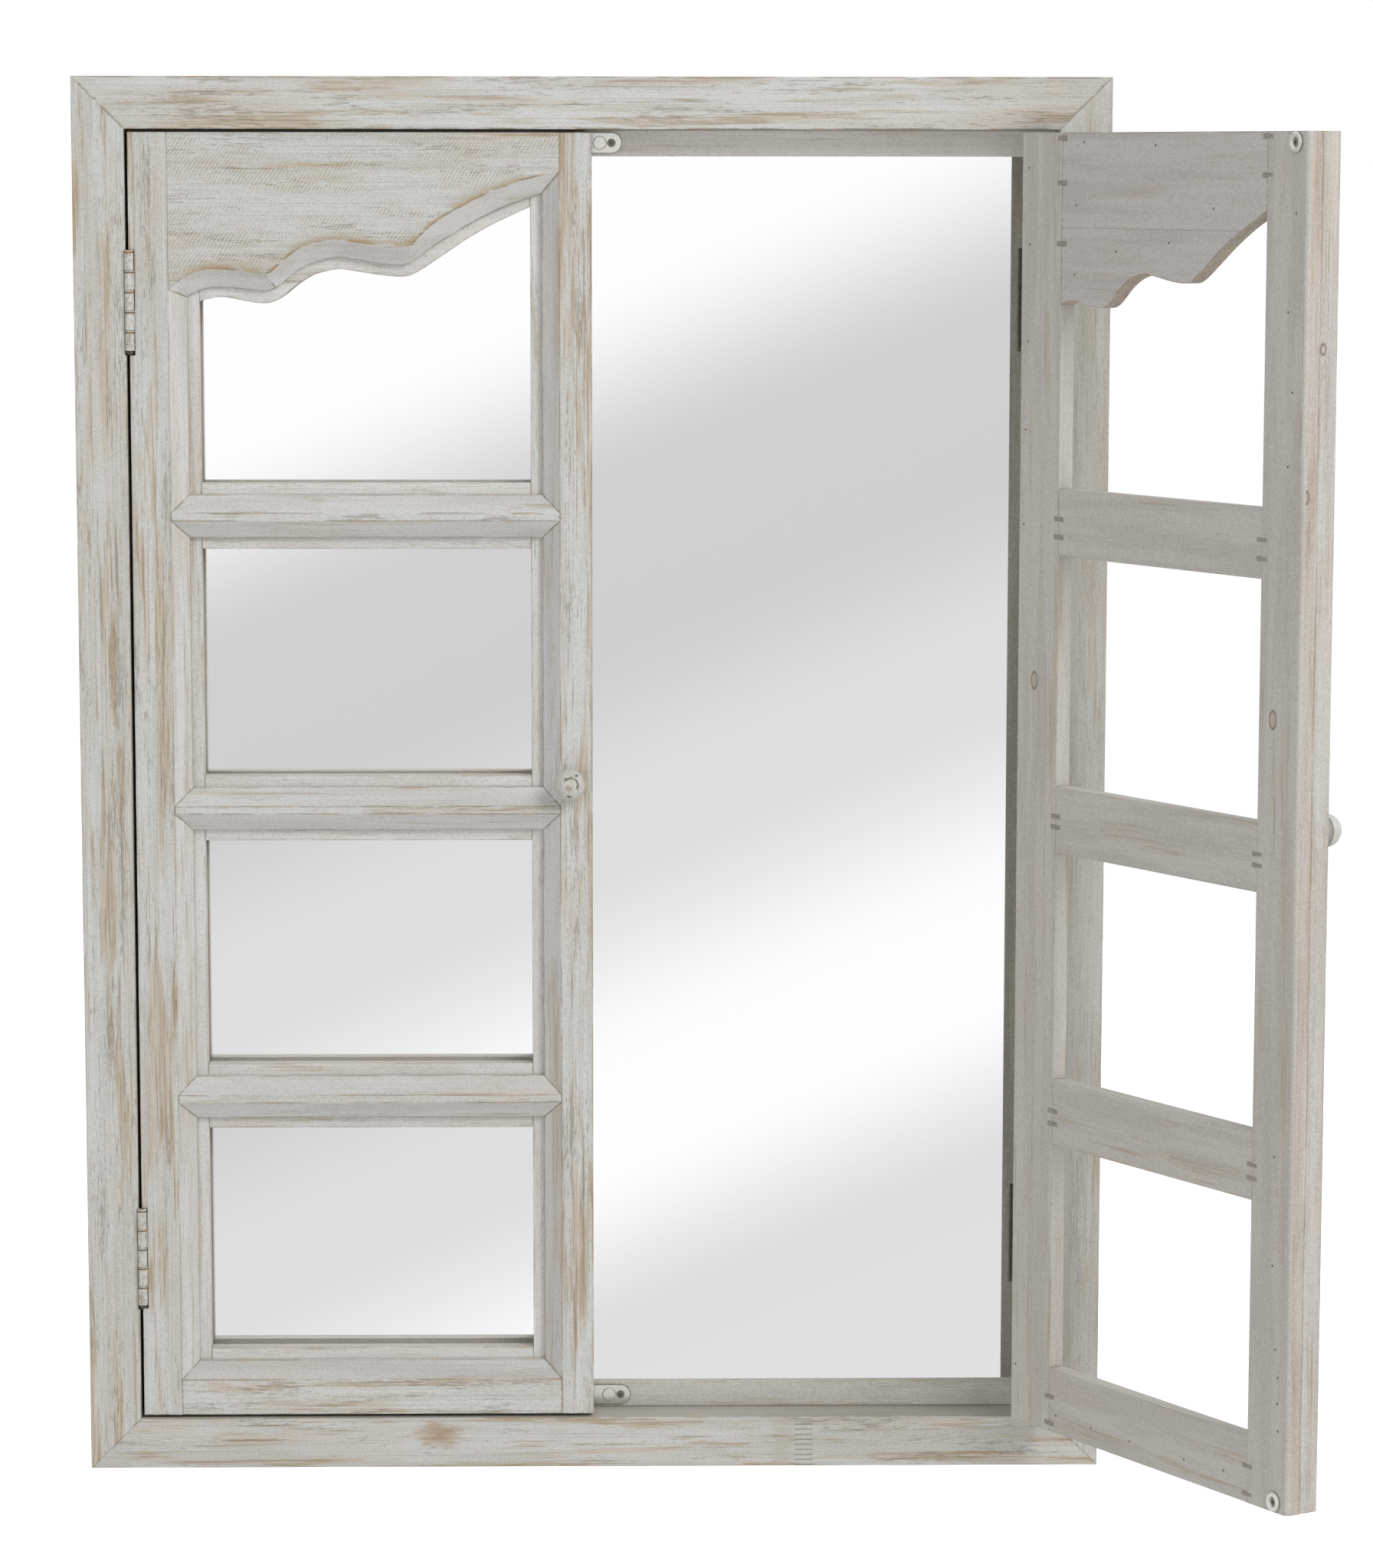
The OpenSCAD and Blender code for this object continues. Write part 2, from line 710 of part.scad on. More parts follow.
module back_piece(side, u0, u1, z0, z1) {
    color(paint_back)
        shutter_place(side)
            difference() {
                translate([u0, front_t, z0]) cube([u1 - u0, back_t, z1 - z0]);
                each_wiggle() wiggle_slot();
            }
}

module back_hinge_stile(side) {
    color(paint_back)
        difference() {
            back_piece(side, 0, pane_u0, 0, door_h);
            shutter_turn(side) hinge_cuts();
        }
}

// Section of the meeting stile, w wide and t thick, with its far corner eased
module eased_section(w, t) {
    square([w - arris_r, t]);
    square([w, t - arris_r]);
    translate([w - arris_r, t - arris_r]) circle(arris_r);
}

module back_meeting_stile(side) {
    color(paint_back)
        shutter_place(side)
            difference() {
                translate([pane_u1, front_t, 0])
                    linear_extrude(door_h) eased_section(meet_stile_w, back_t);
                each_wiggle() wiggle_slot();
                strike_cuts();
            }
}

module back_rail(side, i) {
    back_piece(side, pane_u0, pane_u1, rail_z(i), rail_z(i) + rail_w);
}

module back_bottom_rail(side) {
    back_piece(side, pane_u0, pane_u1, 0, bottom_rail_w);
}

module back_top_panel(side) {
    color(paint_back)
        shutter_place(side)
            difference() {
                board(front_t, door_t)
                    polygon(concat(wave_row(0), [[pane_u1, door_h], [pane_u0, door_h]]));
                each_wiggle() wiggle_slot();
            }
}

// Cross-section of a front stile about its square outer edge: width, then depth
module stile_profile(w) {
    polygon([[0, 0], [w - mould_w, 0], [w - step_w, chamfer_d], [w - step_w, front_t], [0, front_t]]);
}

// Where the stile's chamfer runs between two mitres: foot and head are [outer z, inner z]
function mitre_bay(foot, head, u_out, u_in) =
    [[u_out, foot[0]], [u_in, foot[1]], [u_in, head[1]], [u_out, head[0]]];

// A front stile with its chamfer cut back to a mitre at each rail, in distance from its edge
module front_stile(w, wave_head) {
    u_out = w - mould_w;
    u_in = w - step_w;
    intersection() {
        linear_extrude(door_h) stile_profile(w);
        board(0, front_t) {
            square([u_out, door_h]);
            for (i = [0:3]) {
                foot = [pane_z(i) - mould_w, pane_z(i) - step_w];
                head = i < 3 ? [pane_z(i) + pane_h + mould_w, pane_z(i) + pane_h + step_w] : wave_head;
                polygon(mitre_bay(foot, head, u_out, u_in));
            }
        }
    }
}

module front_hinge_stile(side) {
    head = [wave_row(mould_w)[0].y, wave_row(step_w)[0].y];
    color(paint_front)
        difference() {
            shutter_place(side) front_stile(hinge_stile_w, head);
            shutter_turn(side) hinge_cuts();
        }
}

module front_meeting_stile(side) {
    head = [wave_row(mould_w)[wave_samples].y, wave_row(step_w)[wave_samples].y];
    color(paint_front)
        shutter_place(side)
            difference() {
                translate([door_w, 0, 0]) mirror([1, 0, 0]) front_stile(meet_stile_w, head);
                knob_place()
                    cylinder(r = knob_dowel_d / 2 + dowel_play,
                        h = 2 * (knob_dowel_len + dowel_play), center = true);
            }
}

// A rail across the front layer, with pointed mitred ends. lower or upper says which of its
// edges is chamfered; z0 and z1 are the back layer's edges behind it.
module front_rail(z0, z1, lower) {
    za = lower ? z0 + step_w : z0;
    zb = lower ? z0 + mould_w : z0;
    zc = z1 - mould_w;
    zd = z1 - step_w;
    u_out = [pane_u0 - mould_w, pane_u1 + mould_w];
    u_in = [pane_u0 - step_w, pane_u1 + step_w];
    u_low = lower ? u_in : u_out;
    intersection() {
        rotate([90, 0, 90])
            linear_extrude(door_w)
                polygon([[0, zb], [0, zc], [chamfer_d, zd], [front_t, zd], [front_t, za],
                    [lower ? chamfer_d : 0, za]]);
        board(0, front_t)
            polygon([[u_out[0], zb], [u_low[0], za], [u_low[1], za], [u_out[1], zb],
                [u_out[1], zc], [u_in[1], zd], [u_in[0], zd], [u_out[0], zc]]);
    }
}

module muntin(side, i) {
    color(paint_front) shutter_place(side) front_rail(rail_z(i), rail_z(i) + rail_w, true);
}

module front_bottom_rail(side) {
    color(paint_front) shutter_place(side) front_rail(0, bottom_rail_w, false);
}

// The top panel, as rows of points that run across it: front outline, chamfer's inner edge on
// two depths, then the top edge at the back and at the front. The last four points close the
// corners behind the mitres.
module front_top_panel(side) {
    outer = wave_row(mould_w);
    inner = wave_row(step_w);
    n = wave_samples + 1;
    last = n - 1;
    u0 = outer[0].x;
    u1 = outer[last].x;
    points = concat(
        [for (p = outer) [p.x, 0, p.y]],
        [for (p = inner) [p.x, chamfer_d, p.y]],
        [for (p = inner) [p.x, front_t, p.y]],
        [for (p = inner) [p.x, front_t, door_h]],
        [for (p = outer) [p.x, 0, door_h]],
        [[u0, front_t, outer[0].y], [u0, front_t, door_h],
            [u1, front_t, outer[last].y], [u1, front_t, door_h]]);
    front = 0;
    bevel = n;
    back = 2 * n;
    back_top = 3 * n;
    front_top = 4 * n;
    left_low = 5 * n;
    left_high = left_low + 1;
    right_low = left_low + 2;
    right_high = left_low + 3;
    steps = [0:last - 1];
    faces = concat(
        [for (i = steps) [front + i, bevel + i, bevel + i + 1]],
        [for (i = steps) [front + i, bevel + i + 1, front + i + 1]],
        [for (i = steps) [bevel + i, back + i, back + i + 1, bevel + i + 1]],
        [for (i = steps) [back + i, back_top + i, back_top + i + 1, back + i + 1]],
        [for (i = steps) [back_top + i, front_top + i, front_top + i + 1, back_top + i + 1]],
        [for (i = steps) [front_top + i, front + i, front + i + 1, front_top + i + 1]],
        [[front, left_low, back, bevel],
            [back, left_low, left_high, back_top],
            [back_top, left_high, front_top],
            [front, front_top, left_high, left_low],
            [front + last, bevel + last, back + last, right_low],
            [back + last, back_top + last, right_high, right_low],
            [back_top + last, front_top + last, right_high],
            [front + last, right_low, right_high, front_top + last]]);
    color(paint_front) shutter_place(side) polyhedron(points, faces, convexity = 6);
}

module knob_place() {
    translate([door_w - knob_inset, 0, door_h / 2]) rotate([90, 0, 0]) children();
}

// A turned knob: a small foot that flares to a half ball, on a dowel
module knob(side) {
    ball_r = knob_d / 2;
    ball_z = knob_h - ball_r;
    foot_r = knob_foot_d / 2;
    dome = [for (a = [0:7.5:90]) [ball_r * cos(a), ball_z + ball_r * sin(a)]];
    flare_h = ball_z * 0.65;
    flare = [for (a = [0:15:90])
        [foot_r + (ball_r - foot_r) * (1 - cos(a)), ball_z * 0.25 + flare_h * sin(a)]];
    color(paint_front)
        shutter_place(side)
            knob_place() {
                rotate_extrude() polygon(concat([[0, 0], [foot_r, 0]], flare, dome));
                translate([0, 0, -knob_dowel_len]) cylinder(d = knob_dowel_d, h = knob_dowel_len + 1);
            }
}

// Dished cups that the magnets pull, screwed to the shutter's back
module strike_cups(side) {
    r = strike_d / 2;
    rim = 0.8;
    bowl_r = screw_head_r + screw_play + (strike_t - strike_seat);
    color(bright_steel)
        shutter_place(side)
            difference() {
                for (z = strike_z)
                    translate([strike_u, door_t, z])
                        rotate([-90, 0, 0])
                            rotate_extrude()
                                polygon([[0, 0], [r, 0], [r, strike_t - rim],
                                    [r - rim, strike_t], [bowl_r, strike_t],
                                    [screw_head_r + screw_play, strike_seat], [0, strike_seat]]);
                strike_cuts();
            }
}

module shutter_screws(side) {
    color(dull_steel) {
        shutter_place(side) each_strike() screw(strike_screw_len);
        shutter_turn(side) each_hinge() each_leaf_screw(DOOR_LEAF) screw(hinge_screw_len);
    }
}

module corrugated_fasteners(side) {
    color(old_steel) shutter_place(side) each_wiggle() wiggle_nail();
}

// ---------------------------------------------------------------- nodes

cross_board(2);  // frame_top
cross_board(3);  // frame_bottom
side_board(LEFT);  // frame_left
side_board(RIGHT);  // frame_right
stop_batten_across(1);  // stop_top
stop_batten_across(0);  // stop_bottom
stop_batten_up(LEFT);  // stop_left
stop_batten_up(RIGHT);  // stop_right
mirror_glass();
back_board();
retaining_tabs();
hanging_plates();
hanging_screws();
mitre_fasteners();
catch_plates();
catch_magnets();
catch_screws();
hinge_frame_leaves();
hinge_pins();
hinge_frame_screws();

back_hinge_stile(LEFT);  // left_back_hinge_stile
back_meeting_stile(LEFT);  // left_back_meeting_stile
back_top_panel(LEFT);  // left_back_top_panel
back_rail(LEFT, 2);  // left_back_upper_rail
back_rail(LEFT, 1);  // left_back_middle_rail
back_rail(LEFT, 0);  // left_back_lower_rail
back_bottom_rail(LEFT);  // left_back_bottom_rail
front_hinge_stile(LEFT);  // left_front_hinge_stile
front_meeting_stile(LEFT);  // left_front_meeting_stile
front_top_panel(LEFT);  // left_front_top_panel
muntin(LEFT, 2);  // left_upper_muntin
muntin(LEFT, 1);  // left_middle_muntin
muntin(LEFT, 0);  // left_lower_muntin
front_bottom_rail(LEFT);  // left_front_bottom_rail
knob(LEFT);  // left_knob
strike_cups(LEFT);  // left_strike_cups
shutter_screws(LEFT);  // left_shutter_screws
corrugated_fasteners(LEFT);  // left_corrugated_fasteners
hinge_leaves(LEFT);  // left_hinge_leaves

back_hinge_stile(RIGHT);  // right_back_hinge_stile
back_meeting_stile(RIGHT);  // right_back_meeting_stile
back_top_panel(RIGHT);  // right_back_top_panel
back_rail(RIGHT, 2);  // right_back_upper_rail
back_rail(RIGHT, 1);  // right_back_middle_rail
back_rail(RIGHT, 0);  // right_back_lower_rail
back_bottom_rail(RIGHT);  // right_back_bottom_rail
front_hinge_stile(RIGHT);  // right_front_hinge_stile
front_meeting_stile(RIGHT);  // right_front_meeting_stile
front_top_panel(RIGHT);  // right_front_top_panel
muntin(RIGHT, 2);  // right_upper_muntin
muntin(RIGHT, 1);  // right_middle_muntin
muntin(RIGHT, 0);  // right_lower_muntin
front_bottom_rail(RIGHT);  // right_front_bottom_rail
knob(RIGHT);  // right_knob
strike_cups(RIGHT);  // right_strike_cups
shutter_screws(RIGHT);  // right_shutter_screws
corrugated_fasteners(RIGHT);  // right_corrugated_fasteners
hinge_leaves(RIGHT);  // right_hinge_leaves
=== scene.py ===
# %% [markdown]
# # Shutter mirror
# A wall mirror behind two whitewashed pine shutters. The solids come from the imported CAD
# model, already in place and in metres. This script gives each one its finish, softens the
# edges of the boards, adds the small marks that the maker left, and lights the result like
# a catalogue picture.

import json
import math

import bmesh
import bpy
from mathutils import Matrix, Vector

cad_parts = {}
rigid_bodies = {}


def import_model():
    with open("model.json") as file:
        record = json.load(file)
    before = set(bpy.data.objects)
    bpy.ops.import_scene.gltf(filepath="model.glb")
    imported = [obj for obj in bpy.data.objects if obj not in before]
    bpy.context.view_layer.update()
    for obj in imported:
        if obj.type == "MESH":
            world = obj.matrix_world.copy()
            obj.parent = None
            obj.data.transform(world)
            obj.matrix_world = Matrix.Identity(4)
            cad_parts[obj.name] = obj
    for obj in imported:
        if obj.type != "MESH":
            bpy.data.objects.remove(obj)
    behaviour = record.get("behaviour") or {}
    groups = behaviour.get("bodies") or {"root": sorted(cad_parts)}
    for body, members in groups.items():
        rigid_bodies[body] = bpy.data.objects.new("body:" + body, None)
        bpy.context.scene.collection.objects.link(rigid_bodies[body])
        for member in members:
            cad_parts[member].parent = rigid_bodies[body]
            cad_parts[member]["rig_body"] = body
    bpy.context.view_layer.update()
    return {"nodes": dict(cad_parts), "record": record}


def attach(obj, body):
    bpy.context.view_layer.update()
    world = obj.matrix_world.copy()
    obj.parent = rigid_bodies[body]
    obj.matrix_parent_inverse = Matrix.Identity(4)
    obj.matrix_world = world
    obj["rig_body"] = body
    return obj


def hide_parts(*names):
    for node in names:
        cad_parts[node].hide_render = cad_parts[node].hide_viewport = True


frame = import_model()
nodes = frame["nodes"]
MM = 0.001

# %% [markdown]
# ## Colours, nodes and new pieces
# Colours are chosen on screen, in sRGB, while shaders count in linear light, so one function
# converts them. A second small function adds a shader node with its settings and its
# inputs: an input that is another node's output becomes a link, anything else is a value.
# A third one turns finished bmesh work into an object.


# %% Helpers for colours, nodes and pieces
def linear(hex_code):
    """Undo the sRGB curve of a screen colour such as #808080."""
    parts = [int(hex_code[i : i + 2], 16) / 255 for i in (1, 3, 5)]
    bright = [c / 12.92 if c <= 0.04045 else ((c + 0.055) / 1.055) ** 2.4 for c in parts]
    return (*bright, 1.0)


def add(tree, kind, inputs=None, **settings):
    node = tree.nodes.new(kind)
    for name, value in settings.items():
        setattr(node, name, value)
    for name, value in (inputs or {}).items():
        if isinstance(value, bpy.types.NodeSocket):
            tree.links.new(value, node.inputs[name])
        else:
            node.inputs[name].default_value = value
    return node


def new_piece(name, work):
    mesh = bpy.data.meshes.new(name)
    work.to_mesh(mesh)
    work.free()
    piece = bpy.data.objects.new(name, mesh)
    bpy.context.scene.collection.objects.link(piece)
    return piece


WHITE = linear("#ffffff")
print("mid grey in linear light:", round(linear("#808080")[0], 3))

# %% [markdown]
# ## Places on the shutters
# The right shutter is stored open. Patterns and small marks are easier to place on a shut
# one, so one function gives the turn that shuts a part's shutter, and another one finds a
# point by its distance from the hinge edge, its height above the foot and its depth from
# the back face.

# %% Shut shutters
joints = {j["child"]: j for j in frame["record"]["behaviour"]["joints"]}


def shut(name):
    """The turn about its hinge that shuts the shutter a part belongs to."""
    joint = joints.get(nodes[name]["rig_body"])
    if joint is None:
        return Matrix.Identity(4)
    pivot = Matrix.Translation(joint["pos_m"])
    turn = Matrix.Rotation(math.radians(joint["range_deg"][0]), 4, Vector(joint["axis"]))
    return pivot @ turn @ pivot.inverted()


def corners(points):
    """The lowest and the highest corner of the box round some points."""
    return [Vector(end(p[i] for p in points) for i in range(3)) for end in (min, max)]


def shut_corners(name):
    shutting = shut(name)
    return corners([shutting @ v.co for v in nodes[name].data.vertices])


def on_shutter(side, along, height, from_back=0.0):
    """A point on a shut shutter, by three distances in millimetres."""
    low, high = shut_corners(side + "_back_hinge_stile")
    x = low.x + along * MM if side == "left" else high.x - along * MM
    return Vector((x, high.y - from_back * MM, low.z + height * MM))


hinge_edge = shut_corners("right_back_hinge_stile")[1].x
meeting_edge = shut_corners("right_back_meeting_stile")[0].x
shutter_width = (hinge_edge - meeting_edge) / MM
print("each shutter is", round(shutter_width, 2), "mm wide")

# %% [markdown]
# ## A surface with marks
# Both the painted boards and the metals are built from layers: a noise pattern picks where
# a layer shows, and a mix lays its colour on. This class holds one material while its
# layers are added. Its patterns read either the object's coordinates or the grain of a
# board, and every mark is given as a width and a length in millimetres. The noise has a
# mean of 0.5 and seldom strays more than 0.15 from it, so the limits that pick a layer lie
# close together.

# %% One material, layer by layer
NOISE_MEAN = 0.5
UNDER, OVER, MIXED = 6, 7, 2  # the Mix node's sockets for colours


class Finish:
    def __init__(self, name, on_grain):
        self.material = bpy.data.materials.new(name)
        self.material.use_nodes = True
        self.tree = self.material.node_tree
        self.tree.nodes.clear()
        if on_grain:
            self.spot = self.carried("grain", "Vector")
            board = self.carried("board", "Vector")
            self.place = self.out("ShaderNodeVectorMath", {0: self.spot, 1: board}, operation="ADD")
        else:
            self.spot = self.out("ShaderNodeTexCoord", output="Object")
            self.place = self.spot

    def out(self, kind, inputs=None, output=0, **settings):
        """Add a node and hand on one of its outputs."""
        return add(self.tree, kind, inputs, **settings).outputs[output]

    def carried(self, data, output="Fac"):
        """What the piece's own mesh says, such as how worn a board is."""
        return self.out("ShaderNodeAttribute", output=output, attribute_name=data)

    def marks(self, width, length, detail=4.0, roughness=0.6, shift=0.0, warp=0.0):
        """Noise whose marks have a width and, along the grain, a length in millimetres."""
        stretched = self.out(
            "ShaderNodeMapping",
            {
                "Vector": self.place,
                "Scale": (1 / (width * MM), 1 / (width * MM), 1 / (length * MM)),
                "Location": (shift, 2 * shift, -shift),
            },
        )
        look = {"Scale": 1.0, "Detail": detail, "Roughness": roughness, "Distortion": warp}
        return self.out("ShaderNodeTexNoise", {"Vector": stretched, **look}, "Fac")

    def between(self, value, low, high, most=1.0):
        """A mask that rises softly from nothing at the low limit to its most at the high one."""
        return self.out(
            "ShaderNodeMapRange",
            {"Value": value, "From Min": low, "From Max": high, "To Max": most},
            "Result",
            interpolation_type="SMOOTHSTEP",
        )

    def product(self, *factors):
        """Masks and strengths multiplied, so that each of them can hide the layer."""
        result = factors[0]
        for factor in factors[1:]:
            result = self.out("ShaderNodeMath", {0: result, 1: factor}, operation="MULTIPLY")
        return result

    def off(self, value, middle):
        """How far a value is from a middle one, to either side."""
        gap = self.out("ShaderNodeMath", {0: value, 1: middle}, operation="SUBTRACT")
        return self.out("ShaderNodeMath", {0: gap}, operation="ABSOLUTE")

    def wave(self, value, step):
        """A sine that repeats once a step."""
        turn = self.product(value, 2 * math.pi / step)
        return self.out("ShaderNodeMath", {0: turn}, operation="SINE")

    def lean(self, value, other, share):
        """Raise a value where the other pattern is above its mean and lower it elsewhere."""
        above = self.out("ShaderNodeMath", {0: other, 1: NOISE_MEAN}, operation="SUBTRACT")
        return self.out("ShaderNodeMath", {0: above, 1: share, 2: value}, operation="MULTIPLY_ADD")

    def lay(self, under, over, amount):
        """Lay one colour over another."""
        paints = {"Factor": amount, UNDER: under, OVER: over}
        return self.out("ShaderNodeMix", paints, MIXED, data_type="RGBA")

    def far_from(self, place, squash=(1, 1, 1)):
        """The distance from one point, in millimetres."""
        away = self.out("ShaderNodeVectorMath", {0: self.spot, 1: place}, operation="SUBTRACT")
        units = tuple(s / MM for s in squash)
        scaled = self.out("ShaderNodeVectorMath", {0: away, 1: units}, operation="MULTIPLY")
        return self.out("ShaderNodeVectorMath", {0: scaled}, "Value", operation="LENGTH")

    def finish(self, inputs):
        shader = self.out("ShaderNodeBsdfPrincipled", inputs, "BSDF")
        add(self.tree, "ShaderNodeOutputMaterial", {"Surface": shader})
        return self.material


print("a mark of 2 x 40 mm has", round(1 / (2 * MM)), "repeats in a metre across the grain")

# %% [markdown]
# ## Where edges wear
# Hands and sandpaper reach the edges first. The Bevel node gives the normal that a rounded
# edge would have, and where it leaves the face's own normal, an edge is near. The Ambient
# Occlusion node finds the opposite places, the corners, which get painted shade and some grime.

# %% Masks for edges and corners
RAYS = 6
SAME_WAY, TURNED = 0.997, 0.972  # cosines of 4 and 14 degrees
CORNER_DEPTH = 0.6  # how much more is hidden where the painted shade is darkest


def near_edge(finish, reach_mm):
    rounded = finish.out("ShaderNodeBevel", {"Radius": reach_mm * MM}, "Normal", samples=RAYS)
    flat = finish.out("ShaderNodeNewGeometry", output="Normal")
    both = {0: rounded, 1: flat}
    same = finish.out("ShaderNodeVectorMath", both, "Value", operation="DOT_PRODUCT")
    return finish.between(same, SAME_WAY, TURNED)


# Painted shade: a mask that is strongest where the Ambient Occlusion node finds little open space.
def corner_shade(finish, reach_mm, strength, start=0.75):
    reach = {"Distance": reach_mm * MM}
    seen = finish.out("ShaderNodeAmbientOcclusion", reach, "AO", samples=RAYS)
    return finish.between(seen, start, start - CORNER_DEPTH, strength)


for limit in (SAME_WAY, TURNED):
    print("an edge shows from a turn of", round(math.degrees(math.acos(limit)), 1), "degrees")

# %% [markdown]
# ## Whitewashed pine
# The real finish is a thin warm-white coat on softwood, brushed along the grain and rubbed
# back before it was dry. Four things show: faint brush lines, soft beige areas where the
# wash is thin, crisp brown streaks of bare wood inside them, and hair-thin dark lines where
# the wash didn't fill the grain. The arrises are rubbed to bare wood here and there. Each
# board says in its own data how worn it is and which faces are arrises. The hairs of the
# brush and the pores of the wood are finer than the render can show, so their lines are
# drawn 0.7 to 0.9 mm wide.


# %% The coat
def coat(pine, fine, paint, thin, rubbed, brush):
    """Thick and thin wash, a warm tint, brush lines and specks."""
    broad = pine.marks(16, 190, detail=3.0, shift=3.0)
    warm = pine.between(pine.marks(26, 120, detail=3.0, shift=41.0), 0.50, 0.66, 0.40 * rubbed)
    colour = pine.lay(linear(paint), linear(thin), pine.between(broad, 0.42, 0.58))
    colour = pine.lay(colour, linear("#c8baa9"), warm)
    colour = pine.lay(colour, linear("#a29f94"), pine.between(fine, 0.52, 0.66, 0.42 * brush))
    colour = pine.lay(colour, linear("#e0e0dc"), pine.between(fine, 0.48, 0.35, 0.42 * brush))
    speck = pine.marks(0.9, 1.3, detail=3.0, roughness=0.7, shift=43.0)
    colour = pine.lay(colour, linear("#a19c90"), pine.between(speck, 0.52, 0.66, 0.40))
    return pine.lay(colour, linear("#e6e6e2"), pine.between(speck, 0.48, 0.36, 0.30))


def thin_and_bare(pine, colour, fine, area, rubbed):
    """Beige areas where the wash is thin, and streaks of bare wood inside them."""
    tone = pine.between(pine.marks(2.6, 70, shift=9.0), 0.42, 0.60)
    beige = pine.lay(linear("#cabda8"), linear("#b8a588"), tone)
    colour = pine.lay(colour, beige, pine.between(area, 0.59, 0.69, 0.70 * rubbed))
    streak = pine.lean(pine.marks(1.5, 60, detail=8.0, roughness=0.66, shift=7.0), area, 0.8)
    bare = pine.lay(linear("#ad946f"), linear("#867358"), pine.between(fine, 0.42, 0.58))
    return pine.lay(colour, bare, pine.between(streak, 0.645, 0.70, 0.52 * rubbed))


def open_grain(pine, cluster, lines):
    """Short dark lines, in clusters, that the wash didn't fill."""
    tick = pine.lean(pine.marks(0.7, 10, detail=4.0, shift=13.0), cluster, 0.9)
    return pine.between(tick, 0.62, 0.66, 0.50 * lines)


print("the warm tint of the wash:", [round(c, 2) for c in linear("#c8baa9")[:3]])

# %% [markdown]
# ## Worn arrises and the shaped panel
# A worn arris is brown, and rusty in places, but never along its whole length, so a noise
# breaks it up. The shaped panel over each shutter differs from the straight boards. It
# wasn't planed, so the slanting marks of the saw show through the wash, and the crest of
# its wave is rubbed far wider than a straight arris. Its ends and top stay as they are,
# which a mask on the distance from them sees to.

# %% Wear of the arrises
SAW_STEP = 2.1 * MM  # the real saw marks are 1.7 mm apart, which the render can't show
SAW_LEAN = math.radians(58)  # from the grain
CREST_MM = 12.0
CREST_WEAR = 0.9
END_MARGIN, TOP_MARGIN, FADE = 6 * MM, 8 * MM, 6 * MM
panel_low, panel_high = shut_corners("right_front_top_panel")


def saw_teeth(pine):
    """Slanting scratches of the blade, broken up and gathered in patches."""
    across = (-math.cos(SAW_LEAN) / SAW_STEP, 0.0, math.sin(SAW_LEAN) / SAW_STEP)
    both = {0: pine.spot, 1: across}
    turns = pine.out("ShaderNodeVectorMath", both, "Value", operation="DOT_PRODUCT")
    bent = pine.lean(turns, pine.marks(20, 40, detail=2.0, shift=29.0), 2.5)
    teeth = pine.between(pine.wave(bent, 1.0), -0.1, 0.9)
    chop = pine.between(pine.marks(2.6, 9, detail=2.0, shift=31.0), 0.36, 0.52)
    patch = pine.between(pine.marks(13, 60, detail=3.0, shift=23.0), 0.42, 0.56)
    return pine.product(teeth, chop, patch)


def worn_arris(pine, edge, edge_mm):
    broken = pine.between(pine.marks(4, 34, detail=5.0, shift=11.0), 0.42, 0.54, 0.6 * edge)
    either = {0: near_edge(pine, edge_mm), 1: pine.carried("arris")}
    return pine.product(pine.out("ShaderNodeMath", either, operation="MAXIMUM"), broken)


def rusty_wood(pine):
    rusty = pine.between(pine.marks(3, 22, detail=3.0, shift=47.0), 0.50, 0.60)
    return pine.lay(linear("#857a62"), linear("#a9814d"), rusty)


def on_wave(pine):
    """Only the panel's wave. Its grain is level, so height comes first and width last."""
    height, _, width = add(pine.tree, "ShaderNodeSeparateXYZ", {0: pine.spot}).outputs
    aside = pine.off(width, 0.0)
    top, outer, inner = panel_high.z - TOP_MARGIN, panel_high.x, panel_low.x
    return pine.product(
        pine.between(aside, outer - END_MARGIN, outer - END_MARGIN - FADE),
        pine.between(aside, inner + END_MARGIN, inner + END_MARGIN + FADE),
        pine.between(height, top, top - FADE),
    )


def rubbed_crest(pine, colour, wave):
    fade = pine.between(pine.marks(14, 30, detail=3.0, shift=37.0), 0.44, 0.54, CREST_WEAR)
    wide = pine.product(near_edge(pine, CREST_MM), fade, wave)
    return pine.lay(colour, linear("#a8946a"), wide)


print("the shaped panel is", round((panel_high.x - panel_low.x) / MM), "mm wide")

# %% [markdown]
# ## Marks that have a place
# Some marks aren't a pattern but sit in one place: knots, the glue line on the panels'
# backs, the finger joint in the frame's foot and the scraped faces of the knobs. Each is
# drawn by its distance from a point or a line, and a noise makes its outline ragged. A knot
# is longer along the grain.

# %% Knots, joints and scrapes
ALONG_GRAIN = (1, 1, 0.6)
SEAM_HEIGHT = panel_high.z - 59 * MM
# In the foot of the frame: the finger joint right of the middle, and the knot left of it. The
# board's grain is level, so a place is its height, its depth and how far along it lies.
foot_low = shut_corners("frame_bottom")[0]
FINGER = 3.4 * MM
FOOT_JOINT = 137 * MM
FOOT_KNOT = Vector((foot_low.z + 21.5 * MM, foot_low.y, -102 * MM))
# On a knob's face, from its middle: where the scrape bends round, the rubbed patch, the chips.
SCRAPE_R = 5.0
SCRAPED_SIDE = Vector((2.5, 0, 4.3)) * MM
PATCH = Vector((-1.3, 0, -2.0)) * MM
CHIPS = (Vector((-1.3, 0, -7.2)) * MM, Vector((3.6, 0, 6.0)) * MM)


